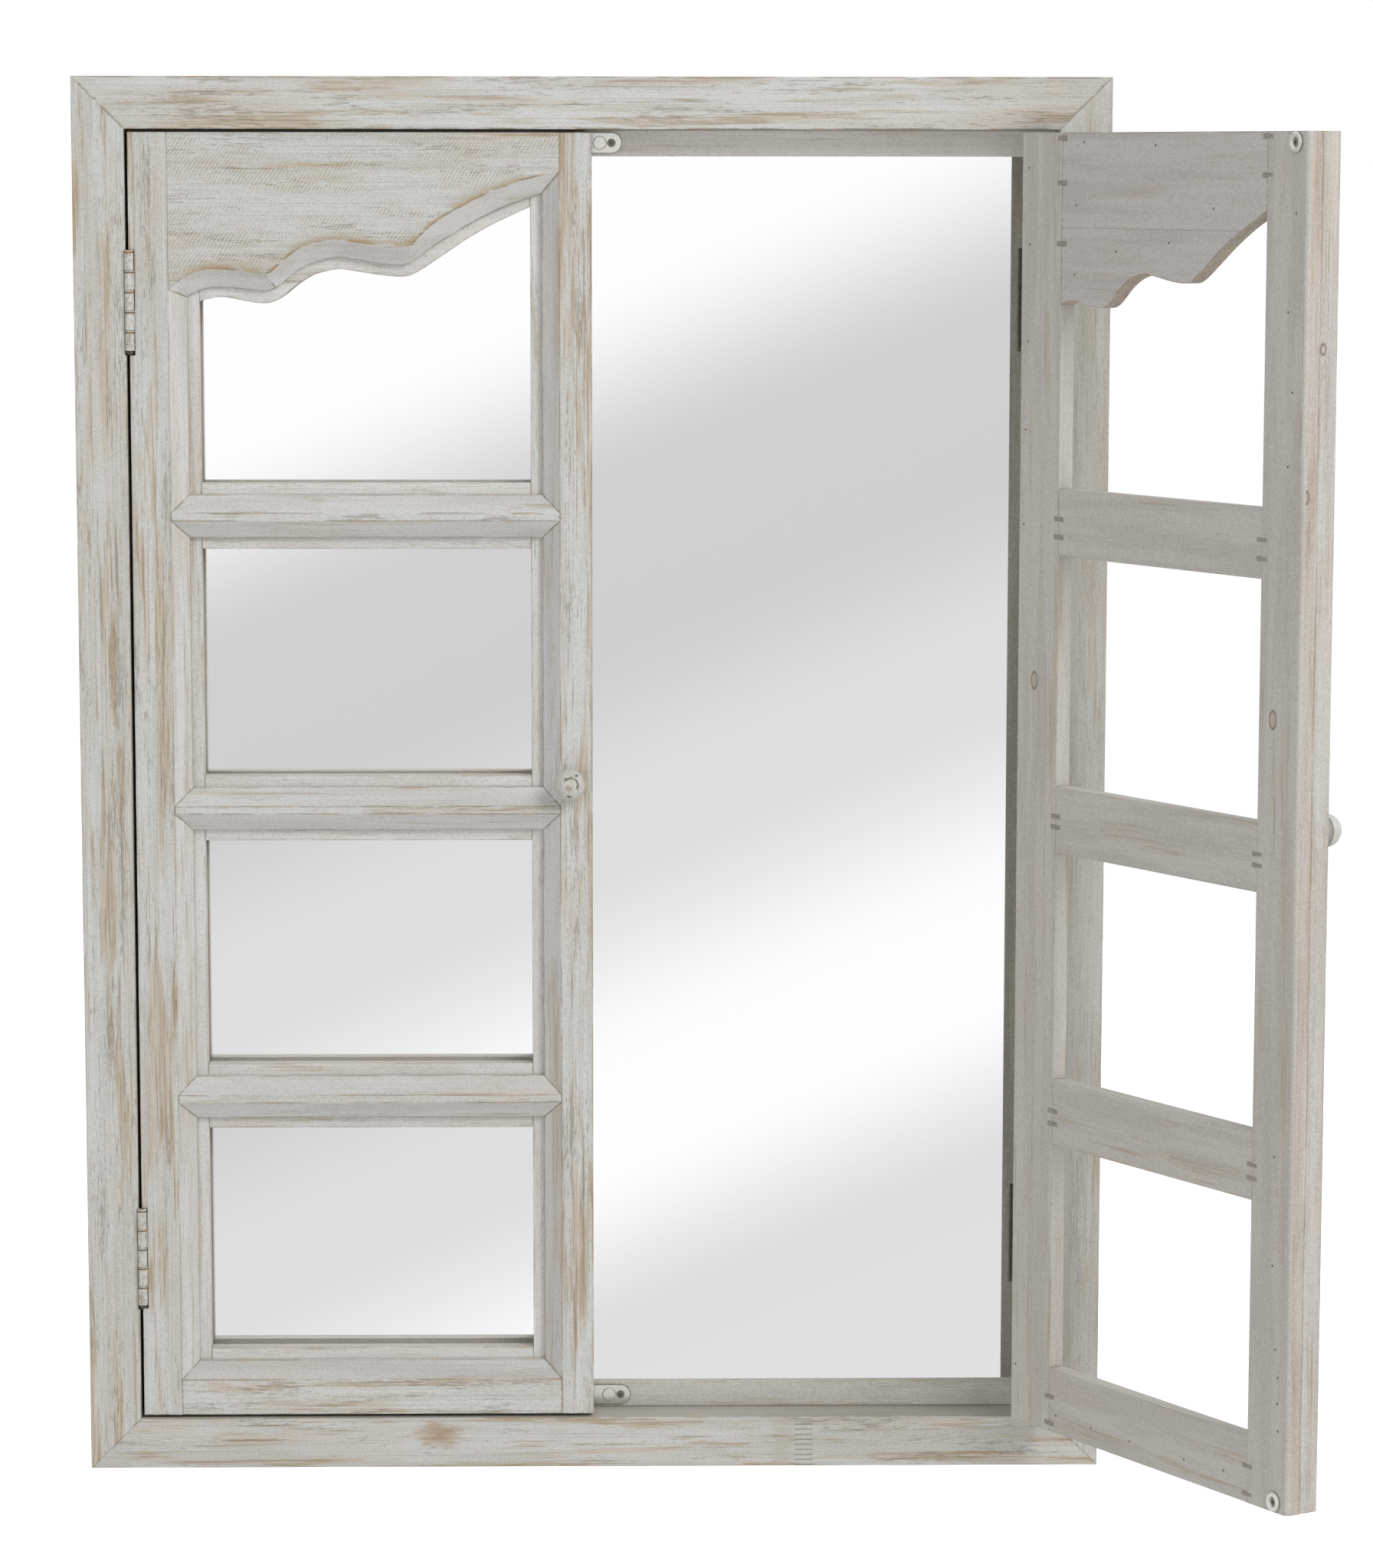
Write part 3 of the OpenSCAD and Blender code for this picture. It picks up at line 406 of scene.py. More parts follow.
def knot(pine, colour, place, size_mm, heart):
    """A dark ring round a paler heart."""
    far = pine.far_from(place, ALONG_GRAIN)
    colour = pine.lay(colour, linear("#a5886e"), pine.between(far, size_mm, 0.7 * size_mm, heart))
    ring = pine.between(pine.off(far, size_mm), 0.8, 0.2, 0.75)
    return pine.lay(colour, linear("#75624c"), ring)


def glue_line(pine, colour):
    """The joint of a panel that was made from two boards."""
    height = pine.out("ShaderNodeSeparateXYZ", {0: pine.spot}, "X")
    line = pine.between(pine.off(height, SEAM_HEIGHT), 0.5 * MM, 0.2 * MM, 0.4)
    return pine.lay(colour, linear("#8b8478"), line)


def finger_joint(pine, colour):
    """Two lengths joined by a comb of fingers, with a rubbed patch before it and a knot."""
    height, _, along = add(pine.tree, "ShaderNodeSeparateXYZ", {0: pine.spot}).outputs
    comb = pine.between(pine.off(along, FOOT_JOINT), 7 * MM, 5 * MM, 0.6)
    comb = pine.product(pine.between(pine.wave(height, FINGER), 0.5, 0.9), comb)
    colour = pine.lay(colour, linear("#7d7566"), comb)
    patch = pine.between(pine.off(along, FOOT_JOINT - 14 * MM), 9 * MM, 3 * MM, 0.3)
    colour = pine.lay(colour, linear("#b3aa97"), patch)
    cloud = pine.lean(pine.far_from(FOOT_KNOT, ALONG_GRAIN), pine.marks(2, 14, shift=59.0), 22.0)
    return pine.lay(colour, linear("#aa8c69"), pine.between(cloud, 13, 1, 0.8))


def scrape(pine, colour, place):
    """A ragged scrape half way round a knob's face, a rubbed patch in it and two chips."""
    ragged = pine.marks(1.3, 1.6, detail=3.0, shift=61.0)
    curl = pine.lean(pine.off(pine.far_from(place), SCRAPE_R), ragged, 4.0)
    half = pine.between(pine.far_from(place + SCRAPED_SIDE), 7.6, 6.4, 0.9)
    curl = pine.product(pine.between(curl, 1.0, 0.4), half)
    colour = pine.lay(colour, linear("#6f6040"), curl)
    patch = pine.far_from(place + PATCH, (1, 0.2, 1))
    patch = pine.between(pine.lean(patch, ragged, 9.0), 2.4, 1.6, 0.65)
    colour = pine.lay(colour, linear("#94825f"), patch)
    for chip in CHIPS:
        chip = pine.lean(pine.far_from(place + chip, (0.6, 0.1, 1)), ragged, 2.0)
        colour = pine.lay(colour, linear("#4c4536"), pine.between(chip, 1.1, 0.6, 0.85))
    return colour


print("the panels' glue line is at z =", round(SEAM_HEIGHT, 3))

# %% [markdown]
# ## One function for every pine finish
# All the boards had the same coat, but hands, the saw, the cutter and the shade left it
# different from place to place. So one function lays the layers, and its settings say how
# strong each of them is. Pine under a thin coat reflects like any dull varnish, with an IOR
# of 1.5.

# %% The painted board
PINE_IOR = 1.5
PINE_ROUGH = 0.64


def painted_pine(
    name,
    paint,
    thin,
    rubbed=1.0,  # thin areas and bare streaks
    lines=1.0,  # open grain
    brush=1.0,  # brush lines
    edge=1.0,  # wear of the arrises
    edge_mm=1.5,  # and how far it reaches
    corner=0.45,  # painted shade and some grime in the corners
    reach_mm=1.6,  # and how far that reaches
    shaped=False,
    knots=(),
    knot_mm=3.2,
    knot_heart=0.6,
    glued=False,
    fingered=False,
    scraped=(),
    on_grain=True,
):
    """Lay every layer of one pine finish, as strong as its setting says."""
    pine = Finish(name, on_grain)
    fine = pine.marks(0.9, 140, detail=6.0, roughness=0.68)
    colour = coat(pine, fine, paint, thin, rubbed, brush)
    relief = pine.product(fine, 0.6)
    area = pine.marks(9, 150, detail=6.0, roughness=0.66, shift=5.0, warp=0.4)
    more = {0: pine.carried("wear"), 1: 0.10, 2: area}
    area = pine.out("ShaderNodeMath", more, operation="MULTIPLY_ADD")
    cluster = pine.marks(8, 75, detail=3.0, shift=17.0)
    if shaped:
        teeth = saw_teeth(pine)
        area = pine.lean(area, teeth, 0.07)
        cluster = pine.lean(cluster, teeth, 0.10)
        colour = pine.lay(colour, linear("#b3a689"), pine.product(teeth, 0.55))
        relief = pine.out("ShaderNodeMath", {0: relief, 1: teeth}, operation="SUBTRACT")
    colour = thin_and_bare(pine, colour, fine, area, rubbed)
    tick = open_grain(pine, cluster, lines)
    colour = pine.lay(colour, linear("#877b69"), tick)
    relief = pine.out("ShaderNodeMath", {0: relief, 1: tick}, operation="SUBTRACT")

    arris = worn_arris(pine, edge, edge_mm)
    if shaped:
        wave = on_wave(pine)
        colour = pine.lay(colour, rusty_wood(pine), pine.product(arris, wave))
        colour = rubbed_crest(pine, colour, wave)
    else:
        colour = pine.lay(colour, rusty_wood(pine), arris)
    for place in knots:
        colour = knot(pine, colour, place, knot_mm, knot_heart)
    if glued:
        colour = glue_line(pine, colour)
    if fingered:
        colour = finger_joint(pine, colour)
    for place in scraped:
        colour = scrape(pine, colour, place)
    # Painted shade in the corners, with some grime: a dark colour laid where little open space is
    # found.
    dirt_and_shade = corner_shade(pine, reach_mm, corner, start=0.92)
    colour = pine.lay(colour, linear("#6d655a"), dirt_and_shade)

    depth = {"Height": relief, "Strength": 0.3, "Distance": 0.25 * MM}
    rough = {0: pine.between(fine, 0.35, 0.65, 0.16), 1: PINE_ROUGH}
    return pine.finish(
        {
            "Base Color": colour,
            "Roughness": pine.out("ShaderNodeMath", rough, operation="ADD"),
            "Normal": pine.out("ShaderNodeBump", depth, "Normal"),
            "Specular IOR Level": 0.35,
            "IOR": PINE_IOR,
        }
    )


# Fronts of the frame and shutters: the full distressed finish.
whitewash = painted_pine("whitewashed_pine", "#d3d3cf", "#c9c8c1")
print("the full finish takes", len(whitewash.node_tree.nodes), "nodes")

# %% [markdown]
# ## Finishes of the fronts
# What faces the room got most of the paint and most of the rubbing. Three boards of the
# frame differ from the fourth: the top one is rubbed on its inner arris, the foot is the
# most worn, and the right one is darkened as painted shade of the open shutter. A corner
# darkening that reaches 110 mm spreads that painted shade softly, also over the top board.

# %% Fronts of the frame
SHADE_MM = 110
# The frame's top board, rubbed brown on its inner arris, and darkened beside the open shutter by
# painted shade.
top_wash = painted_pine(
    "whitewashed_pine_rubbed_arris",
    "#d4d4d0",
    "#cac9c2",
    rubbed=0.9,
    edge=1.4,
    edge_mm=2.2,
    corner=0.8,
    reach_mm=SHADE_MM,
)
# The foot of the frame, joined from two lengths of wood, and more worn than the rest.
foot_wash = painted_pine("whitewashed_pine_finger_jointed", "#cdccc7", "#c2c0b8", fingered=True)
# The frame's right board, smoother, its paint darker as painted shade of the open shutter.
shutter_painted_shade = painted_pine(
    "whitewashed_pine_with_painted_shutter_shade",
    "#cfcec9",
    "#c4c2ba",
    rubbed=0.6,
    lines=0.5,
    brush=0.6,
    edge=0.8,
    corner=0.35,
    reach_mm=SHADE_MM,
)
# Inner faces of the frame, paint darker and slightly green as painted shade of the recess.
recess_painted_shade = painted_pine(
    "thin_wash_with_painted_recess_shade", "#b2b0a8", "#a6a49b", rubbed=0.5, lines=0.5, brush=0.6, corner=0.15
)
print("the shade reaches", SHADE_MM, "mm")

# %% Fronts of the shutters
# The shaped panel wasn't planed, so saw marks show through, and its crest is rubbed.
sawn_wash = painted_pine(
    "whitewashed_pine_sawn", "#cfcfcb", "#c6c4bd", edge=2.0, edge_mm=4.0, shaped=True
)
# Chamfers: the cutter left them smooth, so that the wash lies even.
moulding_wash = painted_pine(
    "whitewashed_pine_moulding",
    "#d5d4d1",
    "#cccac6",
    rubbed=0.5,
    lines=0.35,
    brush=0.45,
    corner=0.25,
)
# The lowest rail's chamfer, which faces up: its paint is darker, as painted shade.
sill_painted_shade = painted_pine(
    "sill_whitewash_with_painted_shade", "#c9c8c5", "#c1bfbb", rubbed=0.5, lines=0.35, brush=0.45, corner=0.25
)
# The chamfer that follows the wave was shaped by hand, and is greyer.
wave_wash = painted_pine(
    "whitewashed_pine_wave",
    "#d7d5d2",
    "#ccc8c4",
    rubbed=0.3,
    lines=0.15,
    brush=0.15,
    edge=1.2,
    corner=0.15,
)
# Narrow steps round the panes, which took the most paint.
step_wash = painted_pine(
    "whitewashed_pine_step",
    "#dfdeda",
    "#d5d3ce",
    rubbed=0.6,
    lines=0.5,
    brush=0.6,
    edge=0.6,
    corner=0.12,
)
print("the shaped panel takes", len(sawn_wash.node_tree.nodes), "nodes")

# %% Knobs
# Turned, and chipped down to the wood round their faces.
KNOBS = []
for side in ("left", "right"):
    low, high = shut_corners(side + "_knob")
    beside_middle = Vector(((low.x + high.x) / 2 + MM, low.y, (low.z + high.z) / 2 + MM))
    KNOBS.append(shut(side + "_knob").inverted() @ beside_middle)
# Its corner darkening reaches 7 mm in: painted shade where the knob meets the stile.
knob_wash = painted_pine(
    "whitewashed_turned_pine",
    "#d0d0cb",
    "#c4c3bc",
    rubbed=0.8,
    lines=0.6,
    corner=0.6,
    reach_mm=7,
    scraped=KNOBS,
    on_grain=False,
)
print("a scraped knob takes", len(knob_wash.node_tree.nodes), "nodes")

# %% [markdown]
# ## Finishes of the backs and edges
# Where nobody looks, the boards got one even coat and no sanding. The open shutter shows
# its back and its edges, with a few knots, and the wave on the back is as the band saw left
# it.

# %% Backs of the shutters
BACK_KNOTS = [on_shutter("right", 18.5, 486), on_shutter("right", 268.5, 483.5)]
# Backs of the shutters: one even coat, no sanding, two knots.
plain_wash = painted_pine(
    "thin_grey_wash_on_pine",
    "#cac6bf",
    "#c0bbb3",
    rubbed=0.5,
    lines=0.25,
    brush=0.3,
    edge=0.3,
    corner=0.5,
    knots=BACK_KNOTS,
    knot_heart=0.3,
)
# Backs of the shaped panels, glued up from two boards.
panel_back = painted_pine(
    "thin_grey_wash_on_glued_panel",
    "#c8c4bf",
    "#bfbab5",
    rubbed=0.25,
    lines=0.2,
    brush=0.2,
    corner=0.5,
    glued=True,
)
# The band-sawn wave on the back of the panel, nearly bare wood.
sawn_edge = painted_pine("sawn_pine_edge", "#aa9c8b", "#9b8f7e", rubbed=0.5, lines=0.5, edge=0.4)
print("a plain back takes", len(plain_wash.node_tree.nodes), "nodes")

# %% Edges of the shutters
KNOT_PROUD = 0.45  # how far in front of the edge a knot's middle lies
knot_along = shutter_width + KNOT_PROUD
SIDE_KNOT = on_shutter("right", knot_along, 704.5, 13)
EDGE_KNOT = on_shutter("right", knot_along, 617.5, 2)
# Sides of the shutters' front layer, rubbed with beige by many hands, with a small knot.
side_wash = painted_pine(
    "thin_wash_on_shutter_side",
    "#c5c1bb",
    "#bbb5ac",
    rubbed=0.8,
    lines=0.5,
    brush=0.5,
    edge=0.9,
    corner=0.2,
    knots=[SIDE_KNOT],
    knot_mm=1.9,
    knot_heart=0.0,
)
# Outer edges of the back layer, beige, with another small knot.
edge_wash = painted_pine(
    "thin_wash_on_shutter_edge",
    "#bfb7af",
    "#b6a89c",
    rubbed=0.6,
    lines=0.6,
    brush=0.7,
    edge=0.9,
    knots=[EDGE_KNOT],
    knot_mm=2.4,
)
# Hinge edges of the shutters and battens beside them, seen only in the mirror: painted shade.
hinge_edge_painted_shade = painted_pine(
    "thin_wash_darkened_as_painted_shade", "#98968c", "#8c8a80", rubbed=0.4, lines=0.5, brush=0.5, edge=0.5
)
print("knots on the meeting side at z =", round(SIDE_KNOT.z, 3), "and", round(EDGE_KNOT.z, 3))

# %% Stop battens
# The upper one, behind the shutters, hardly worn: paint lightened as painted light, and
# painted shade round the catch plates.
upper_batten_painted_light = painted_pine(
    "upper_batten_wash_with_painted_light",
    "#f1ede7",
    "#e6e2dc",
    rubbed=0.3,
    lines=0.3,
    brush=0.4,
    edge=0.3,
    corner=1.2,
)
# The lower one: paint darker as painted shade, and more painted shade in its corner
# and round the catch plates.
lower_batten_painted_shade = painted_pine(
    "lower_batten_wash_with_painted_shade",
    "#cfccc5",
    "#c4c1ba",
    rubbed=0.5,
    lines=0.5,
    brush=0.5,
    edge=0.6,
    corner=2.2,
)
print("pine finishes are all made:", lower_batten_painted_shade.name, "is the last")

# %% [markdown]
# ## Metals, back board and glass
# The catches and cups are nickel plated, the screws zinc plated and dull. The corrugated
# fasteners went dull under the film of paint that covers them. One function serves them
# all: a plain steel with stained, duller specks, and corners darkened and dulled by painted
# shade with some grime. The film and the pressed back board take the same layers without
# the metal. The mirror is float glass with silver on its back: a perfectly smooth metal is
# enough, because the eye only sees what it reflects.

# %% Metal materials
SPECK_STRETCH = 1.4
STAIN_ROUGH = 0.3  # how much duller a stain is than the metal


def metal(name, colour, roughness, dirt_and_shade, amount=0.5, speck_mm=0.8, metallic=1.0, corner=1.2):
    steel = Finish(name, on_grain=False)
    speck = steel.marks(speck_mm, speck_mm * SPECK_STRETCH, detail=6.0, roughness=0.7)
    stain_and_shade = steel.between(speck, 0.52, 0.62, amount)
    # Painted shade: corners take the stain's colour and its dullness.
    if corner:
        either = {0: stain_and_shade, 1: corner_shade(steel, corner, 0.9)}
        stain_and_shade = steel.out("ShaderNodeMath", either, operation="MAXIMUM")
    dulled = {0: stain_and_shade, 1: STAIN_ROUGH, 2: roughness}
    rough = steel.out("ShaderNodeMath", dulled, operation="MULTIPLY_ADD")
    base = steel.lay(linear(colour), linear(dirt_and_shade), stain_and_shade)
    return steel.finish({"Base Color": base, "Roughness": rough, "Metallic": metallic})


# Bright plate of the catches, a little tarnished, with painted shade round the magnets and screws.
nickel = metal("nickel_plated_steel", "#dcdbd6", 0.18, "#77726a", amount=0.2)
# The pressed cups, darkened inside by painted shade.
cup_nickel = metal("nickel_plated_cup", "#d6d5d0", 0.25, "#5e5a52", amount=0.2, corner=4.0)
# Dull screws, darker than the plates they hold.
zinc = metal("zinc_plated_steel", "#8b8881", 0.4, "#403b35")
# The corrugated fasteners, gone dull.
fastener_steel = metal(
    "dull_fastener_steel",
    "#8b857b",
    0.65,
    "#514a42",
    amount=0.6,
    speck_mm=1.6,
    metallic=0.0,
    corner=0,
)
# The coat that was brushed over them and filled their slots, stained by the steel below.
paint_film = metal(
    "stained_paint_film",
    "#a8a299",
    0.65,
    "#777067",
    amount=0.75,
    speck_mm=1.3,
    metallic=0.0,
    corner=0,
)
# Rusted dark: the hinge pins and the heads of the wire nails.
black_steel = metal("bare_steel_gone_dark", "#5b544b", 0.65, "#2c251f", amount=0.6, metallic=0.3)
# The back board, brown and rough.
hardboard = metal(
    "pressed_hardboard", "#7a5c3e", 0.8, "#5c432b", amount=0.4, speck_mm=1.5, metallic=0.0
)

# The mirror, which shows the bright studio and the shutters' backs.
silver = bpy.data.materials.new("silvered_float_glass")
silver.use_nodes = True
glass = silver.node_tree.nodes["Principled BSDF"].inputs
glass["Base Color"].default_value = linear("#fefefe")
glass["Metallic"].default_value = 1.0
glass["Roughness"].default_value = 0.0
print("mirror reflects", round(linear("#fefefe")[0], 2), "of the light")

# %% [markdown]
# ## Painted hinges
# The hinges were painted over with the boards, and rust bleeds out of the joints between
# their knuckles. Those joints are level lines on the barrels, so they are found by height:
# each hinge has five knuckles, counted from its middle. The leaves stayed bare and dull in
# their gains, so the coat stops at the barrel, and their steel is darkened further as
# painted shade of the gains. Painted shade also darkens the coat near the gaps.

# %% Hinge paint
HINGE_LENGTH = 63.5 * MM
KNUCKLES = 5
BARREL_REACH = 3.6 * MM  # from the pin's middle, just past the barrel
knuckle = HINGE_LENGTH / KNUCKLES
pins = [v.co.z for v in nodes["hinge_pins"].data.vertices]
between_hinges = (min(pins) + max(pins)) / 2
upper_pins = [z for z in pins if z > between_hinges]
hinge_rise = (min(upper_pins) + max(upper_pins)) / 2 - between_hinges
axis_x, axis_y = joints["right_door"]["pos_m"][:2]


def barrel_mask(hinge, x, y):
    aside = hinge.off(hinge.off(x, 0.0), axis_x)
    level = hinge.out("ShaderNodeCombineXYZ", {"X": aside, "Y": hinge.off(y, axis_y)})
    off_axis = hinge.out("ShaderNodeVectorMath", {0: level}, "Value", operation="LENGTH")
    return hinge.out("ShaderNodeMath", {0: off_axis, 1: BARREL_REACH}, operation="LESS_THAN")


def joint_mask(hinge, z):
    """Thin level lines where one knuckle meets the next."""
    rise = {0: hinge.off(z, between_hinges), 1: hinge_rise}
    from_middle = hinge.out("ShaderNodeMath", rise, operation="SUBTRACT")
    counted = {0: from_middle, 1: 1 / knuckle, 2: 0.5}
    turns = hinge.out("ShaderNodeMath", counted, operation="MULTIPLY_ADD")
    to_joint = hinge.out("ShaderNodeMath", {0: turns, 1: 0.5}, operation="PINGPONG")
    return hinge.between(to_joint, 0.055, 0.03)


def hinge_paint():
    hinge = Finish("hinge_steel_painted_over", on_grain=False)
    x, y, z = add(hinge.tree, "ShaderNodeSeparateXYZ", {0: hinge.spot}).outputs
    on_barrel = barrel_mask(hinge, x, y)
    speck = hinge.marks(2.0, 3.0, detail=5.0, roughness=0.7)
    rust = hinge.lay(linear("#5f574a"), linear("#a5793c"), hinge.between(speck, 0.50, 0.58))
    coating = hinge.lay(linear("#d3d1cb"), linear("#b9b3a6"), hinge.between(speck, 0.46, 0.60))
    chips = hinge.between(hinge.marks(1.2, 4.0, detail=5.0, shift=3.0), 0.60, 0.64, 0.8)
    coating = hinge.lay(coating, linear("#6e675b"), chips)
    # Painted shade in the gaps round the knuckles.
    coating = hinge.lay(coating, linear("#5b5347"), corner_shade(hinge, 1.4, 0.8))
    coating = hinge.lay(coating, rust, hinge.product(joint_mask(hinge, z), on_barrel))
    # Bare steel of the leaves, darkened further as painted shade of the gains.
    leaf_and_shade = hinge.lay(linear("#66625a"), linear("#4a443c"), hinge.between(speck, 0.45, 0.60))
    return hinge.finish({"Base Color": hinge.lay(leaf_and_shade, coating, on_barrel), "Roughness": 0.5})


painted_steel = hinge_paint()
print("knuckles of", round(knuckle / MM, 1), "mm, hinges", round(2 * hinge_rise / MM), "mm apart")

# %% [markdown]
# ## Which finish goes where
# A face's finish follows from its board and from where it looks: fronts are distressed,
# slanting faces are chamfers, backs are plain. The question is asked with the shutters
# shut, so that it has the same answer for both.

# %% The finish of one face
FLAT_ON, SLANTING, SQUARE = 0.95, 0.3, 0.9  # cosines, where 1 looks straight that way


def finish_for(name, normal):
    """The finish of one face, from where it looks when the shutters are shut."""
    facing = -normal.y
    if SLANTING < facing < FLAT_ON:
        special = {"top_panel": wave_wash, "front_bottom_rail": sill_painted_shade}
        return next((special[end] for end in special if name.endswith(end)), moulding_wash)
    if name.endswith("hinge_stile") and abs(normal.x) > SQUARE:
        outward = normal.x * (-1 if name.startswith("left") else 1)
        if outward > 0:
            return hinge_edge_painted_shade
    side = name.rpartition("_")[2]
    if name.startswith("stop_"):
        return {"top": upper_batten_painted_light, "bottom": lower_batten_painted_shade}.get(side, hinge_edge_painted_shade)
    if name.startswith("frame_"):
        inward = {"left": normal.x, "right": -normal.x, "top": -normal.z, "bottom": normal.z}
        special = {"top": top_wash, "bottom": foot_wash, "right": shutter_painted_shade}
        return recess_painted_shade if inward[side] > SQUARE else special.get(side, whitewash)
    if name.endswith("back_top_panel"):
        if facing < -FLAT_ON:
            return panel_back
        if abs(facing) < SLANTING and normal.z < 0.0:
            return sawn_edge
    if name.endswith("back_meeting_stile") and abs(facing) < SLANTING:
        return edge_wash
    if "back_" in name:
        return step_wash if facing > FLAT_ON else plain_wash
    if facing < SLANTING:
        return side_wash if name.endswith("stile") else moulding_wash
    return sawn_wash if name.endswith("front_top_panel") else whitewash


print("the frame's foot gets", finish_for("frame_bottom", Vector((0, -1, 0))).name)

# %% [markdown]
# ## Boards with softened edges
# A planed board never has a knife edge. Each CAD board is copied, its loose triangles are
# welded and the flat ones joined, and its sharp edges get a small bevel, which catches the
# light and opens the hairline that shows between two real boards. A Bevel modifier would
# round them too, but the operator hands back its new faces, so that the paint can be told
# which ones are arrises. The copy takes the board's place and rides on the same body.
#
# Every copy also gets the data that the pine finishes read: where each point lies along
# and across the board's own grain, a shift that makes its pattern differ from its
# neighbour's, and how worn it is. The grain is measured with the shutters shut, so a
# pattern that faces the front on the shut shutter does so on the open one too.

# %% What each board's mesh carries
UPRIGHT = ("_left", "_right", "stile")
SHIFTS = (0.618, 0.414, 0.732)  # fractions that never fall in step
USUAL_WEAR = 0.4  # 0 is hardly touched and 1 is well worn
WEAR = {
    "frame_top": 0.7,
    "frame_bottom": 0.7,
    "frame_left": 0.8,
    "frame_right": 0.5,
    "left_front_hinge_stile": 1.1,
    "left_front_meeting_stile": 1.0,
    "left_front_top_panel": 0.3,
    "left_front_bottom_rail": 0.6,
    "right_back_meeting_stile": 0.5,
}


def is_upright(name):
    """Whether a board's grain runs up: the shutter's own side in its name doesn't count."""
    plain = name.removeprefix("left_").removeprefix("right_")
    return any(word in plain for word in UPRIGHT)


def say_grain(mesh, name, number):
    """Tell each point its place in the grain, its board's shift and its wear."""
    shutting = shut(name)
    places = [shutting @ v.co for v in mesh.vertices]
    if not is_upright(name):
        places = [Vector(reversed(p)) for p in places]
    apart = [round(number * step % 1.0, 3) for step in SHIFTS]
    layers = {
        "grain": [c for p in places for c in p],
        "board": apart * len(places),
        "wear": [WEAR.get(name, USUAL_WEAR)] * len(places),
    }
    # All the layers come first, because a new one moves the others in memory.
    for layer in layers:
        kind = "FLOAT" if layer == "wear" else "FLOAT_VECTOR"
        mesh.attributes.new(layer, kind, "POINT")
    for layer, values in layers.items():
        field = "value" if layer == "wear" else "vector"
        mesh.attributes[layer].data.foreach_set(field, values)


print("most worn board:", max(WEAR, key=WEAR.get))

# %% Copies of the boards
WELD = 0.002 * MM
FLAT = math.radians(0.5)
SHARP = math.radians(28)
EASE = 0.45 * MM


def softened(name, number):
    shutting = shut(name).to_3x3()
    work = bmesh.new()
    work.from_mesh(nodes[name].data)
    bmesh.ops.remove_doubles(work, verts=work.verts, dist=WELD)
    bmesh.ops.dissolve_limit(work, angle_limit=FLAT, verts=work.verts, edges=work.edges)
    used = []
    for face in work.faces:
        chosen = finish_for(name, (shutting @ face.normal).normalized())
        if chosen not in used:
            used.append(chosen)
        face.material_index = used.index(chosen)
        face.smooth = False
    sharp = [e for e in work.edges if e.is_manifold and e.calc_face_angle() > SHARP]
    strips = bmesh.ops.bevel(
        work,
        geom=sharp,
        offset=EASE,
        offset_type="OFFSET",
        segments=2,
        profile=0.5,
        affect="EDGES",
        clamp_overlap=True,
        material=-1,
    )["faces"]
    work.faces.index_update()
    eased = {face.index for face in strips}

    board = new_piece(name + "_board", work)
    mesh = board.data
    for chosen in used:
        mesh.materials.append(chosen)
    say_grain(mesh, name, number)
    arris = [float(i in eased) for i in range(len(mesh.polygons))]
    mesh.attributes.new("arris", "FLOAT", "FACE").data.foreach_set("value", arris)
    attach(board, nodes[name]["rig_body"])
    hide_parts(name)
    return board


slots = {p["node"]: p["material_slot"] for p in frame["record"]["subparts"]}
wooden = [n for n, s in slots.items() if s in ("whitewashed_wood", "plain_painted_wood")]
boards = {}
for name in wooden:
    if not name.endswith("knob"):
        boards[name] = softened(name, len(boards) + 1)
print(len(boards), "boards,", sum(len(b.data.polygons) for b in boards.values()), "faces")

# %% [markdown]
# ## Finishes of the other parts
# The metal parts, the mirror, the back board and the knobs keep the CAD model's own meshes,
# which are fine as they are, and only get their finish.

# %% The other parts
BY_SLOT = {
    "silvered_glass": silver,
    "hardboard": hardboard,
    "zinc_steel": zinc,
    "nickel_steel": nickel,
    "dark_steel": black_steel,
    "painted_steel": painted_steel,
}
BY_ENDING = {"fasteners": fastener_steel, "strike_cups": cup_nickel, "knob": knob_wash}


def paint(name, material):
    data = nodes[name].data
    data.materials.clear()
    data.materials.append(material)
    for face in data.polygons:
        face.material_index = 0


painted = 0
for name, slot in slots.items():
    own = next((BY_ENDING[end] for end in BY_ENDING if name.endswith(end)), BY_SLOT.get(slot))
    if own is not None:
        paint(name, own)
        painted += 1
print("painted", painted, "small parts")

# %% [markdown]
# ## Paint over the corrugated fasteners
# Each fastener stands in a slot of the boards, which the paint has closed. A thin film fills
# the mouth of each slot, and its stained colour makes the faint dark mark that the photo
# shows. The places come from the fasteners' own loose parts.

# %% Paint films
FILM = 0.3 * MM
FILM_LAP = 0.2 * MM  # half of it at either end
FILM_SUNK = 0.2 * MM


def loose_parts(work):
    """The vertices of each part that hangs together."""
    parts = []
    seen = set()
    for start in work.verts:
        if start in seen:
            continue
        seen.add(start)
        part = [start]
        # The list grows while it is walked.
        for vert in part:
            others = {link.other_vert(vert) for link in vert.link_edges} - seen
            seen.update(others)
            part.extend(others)
        parts.append(part)
    return parts


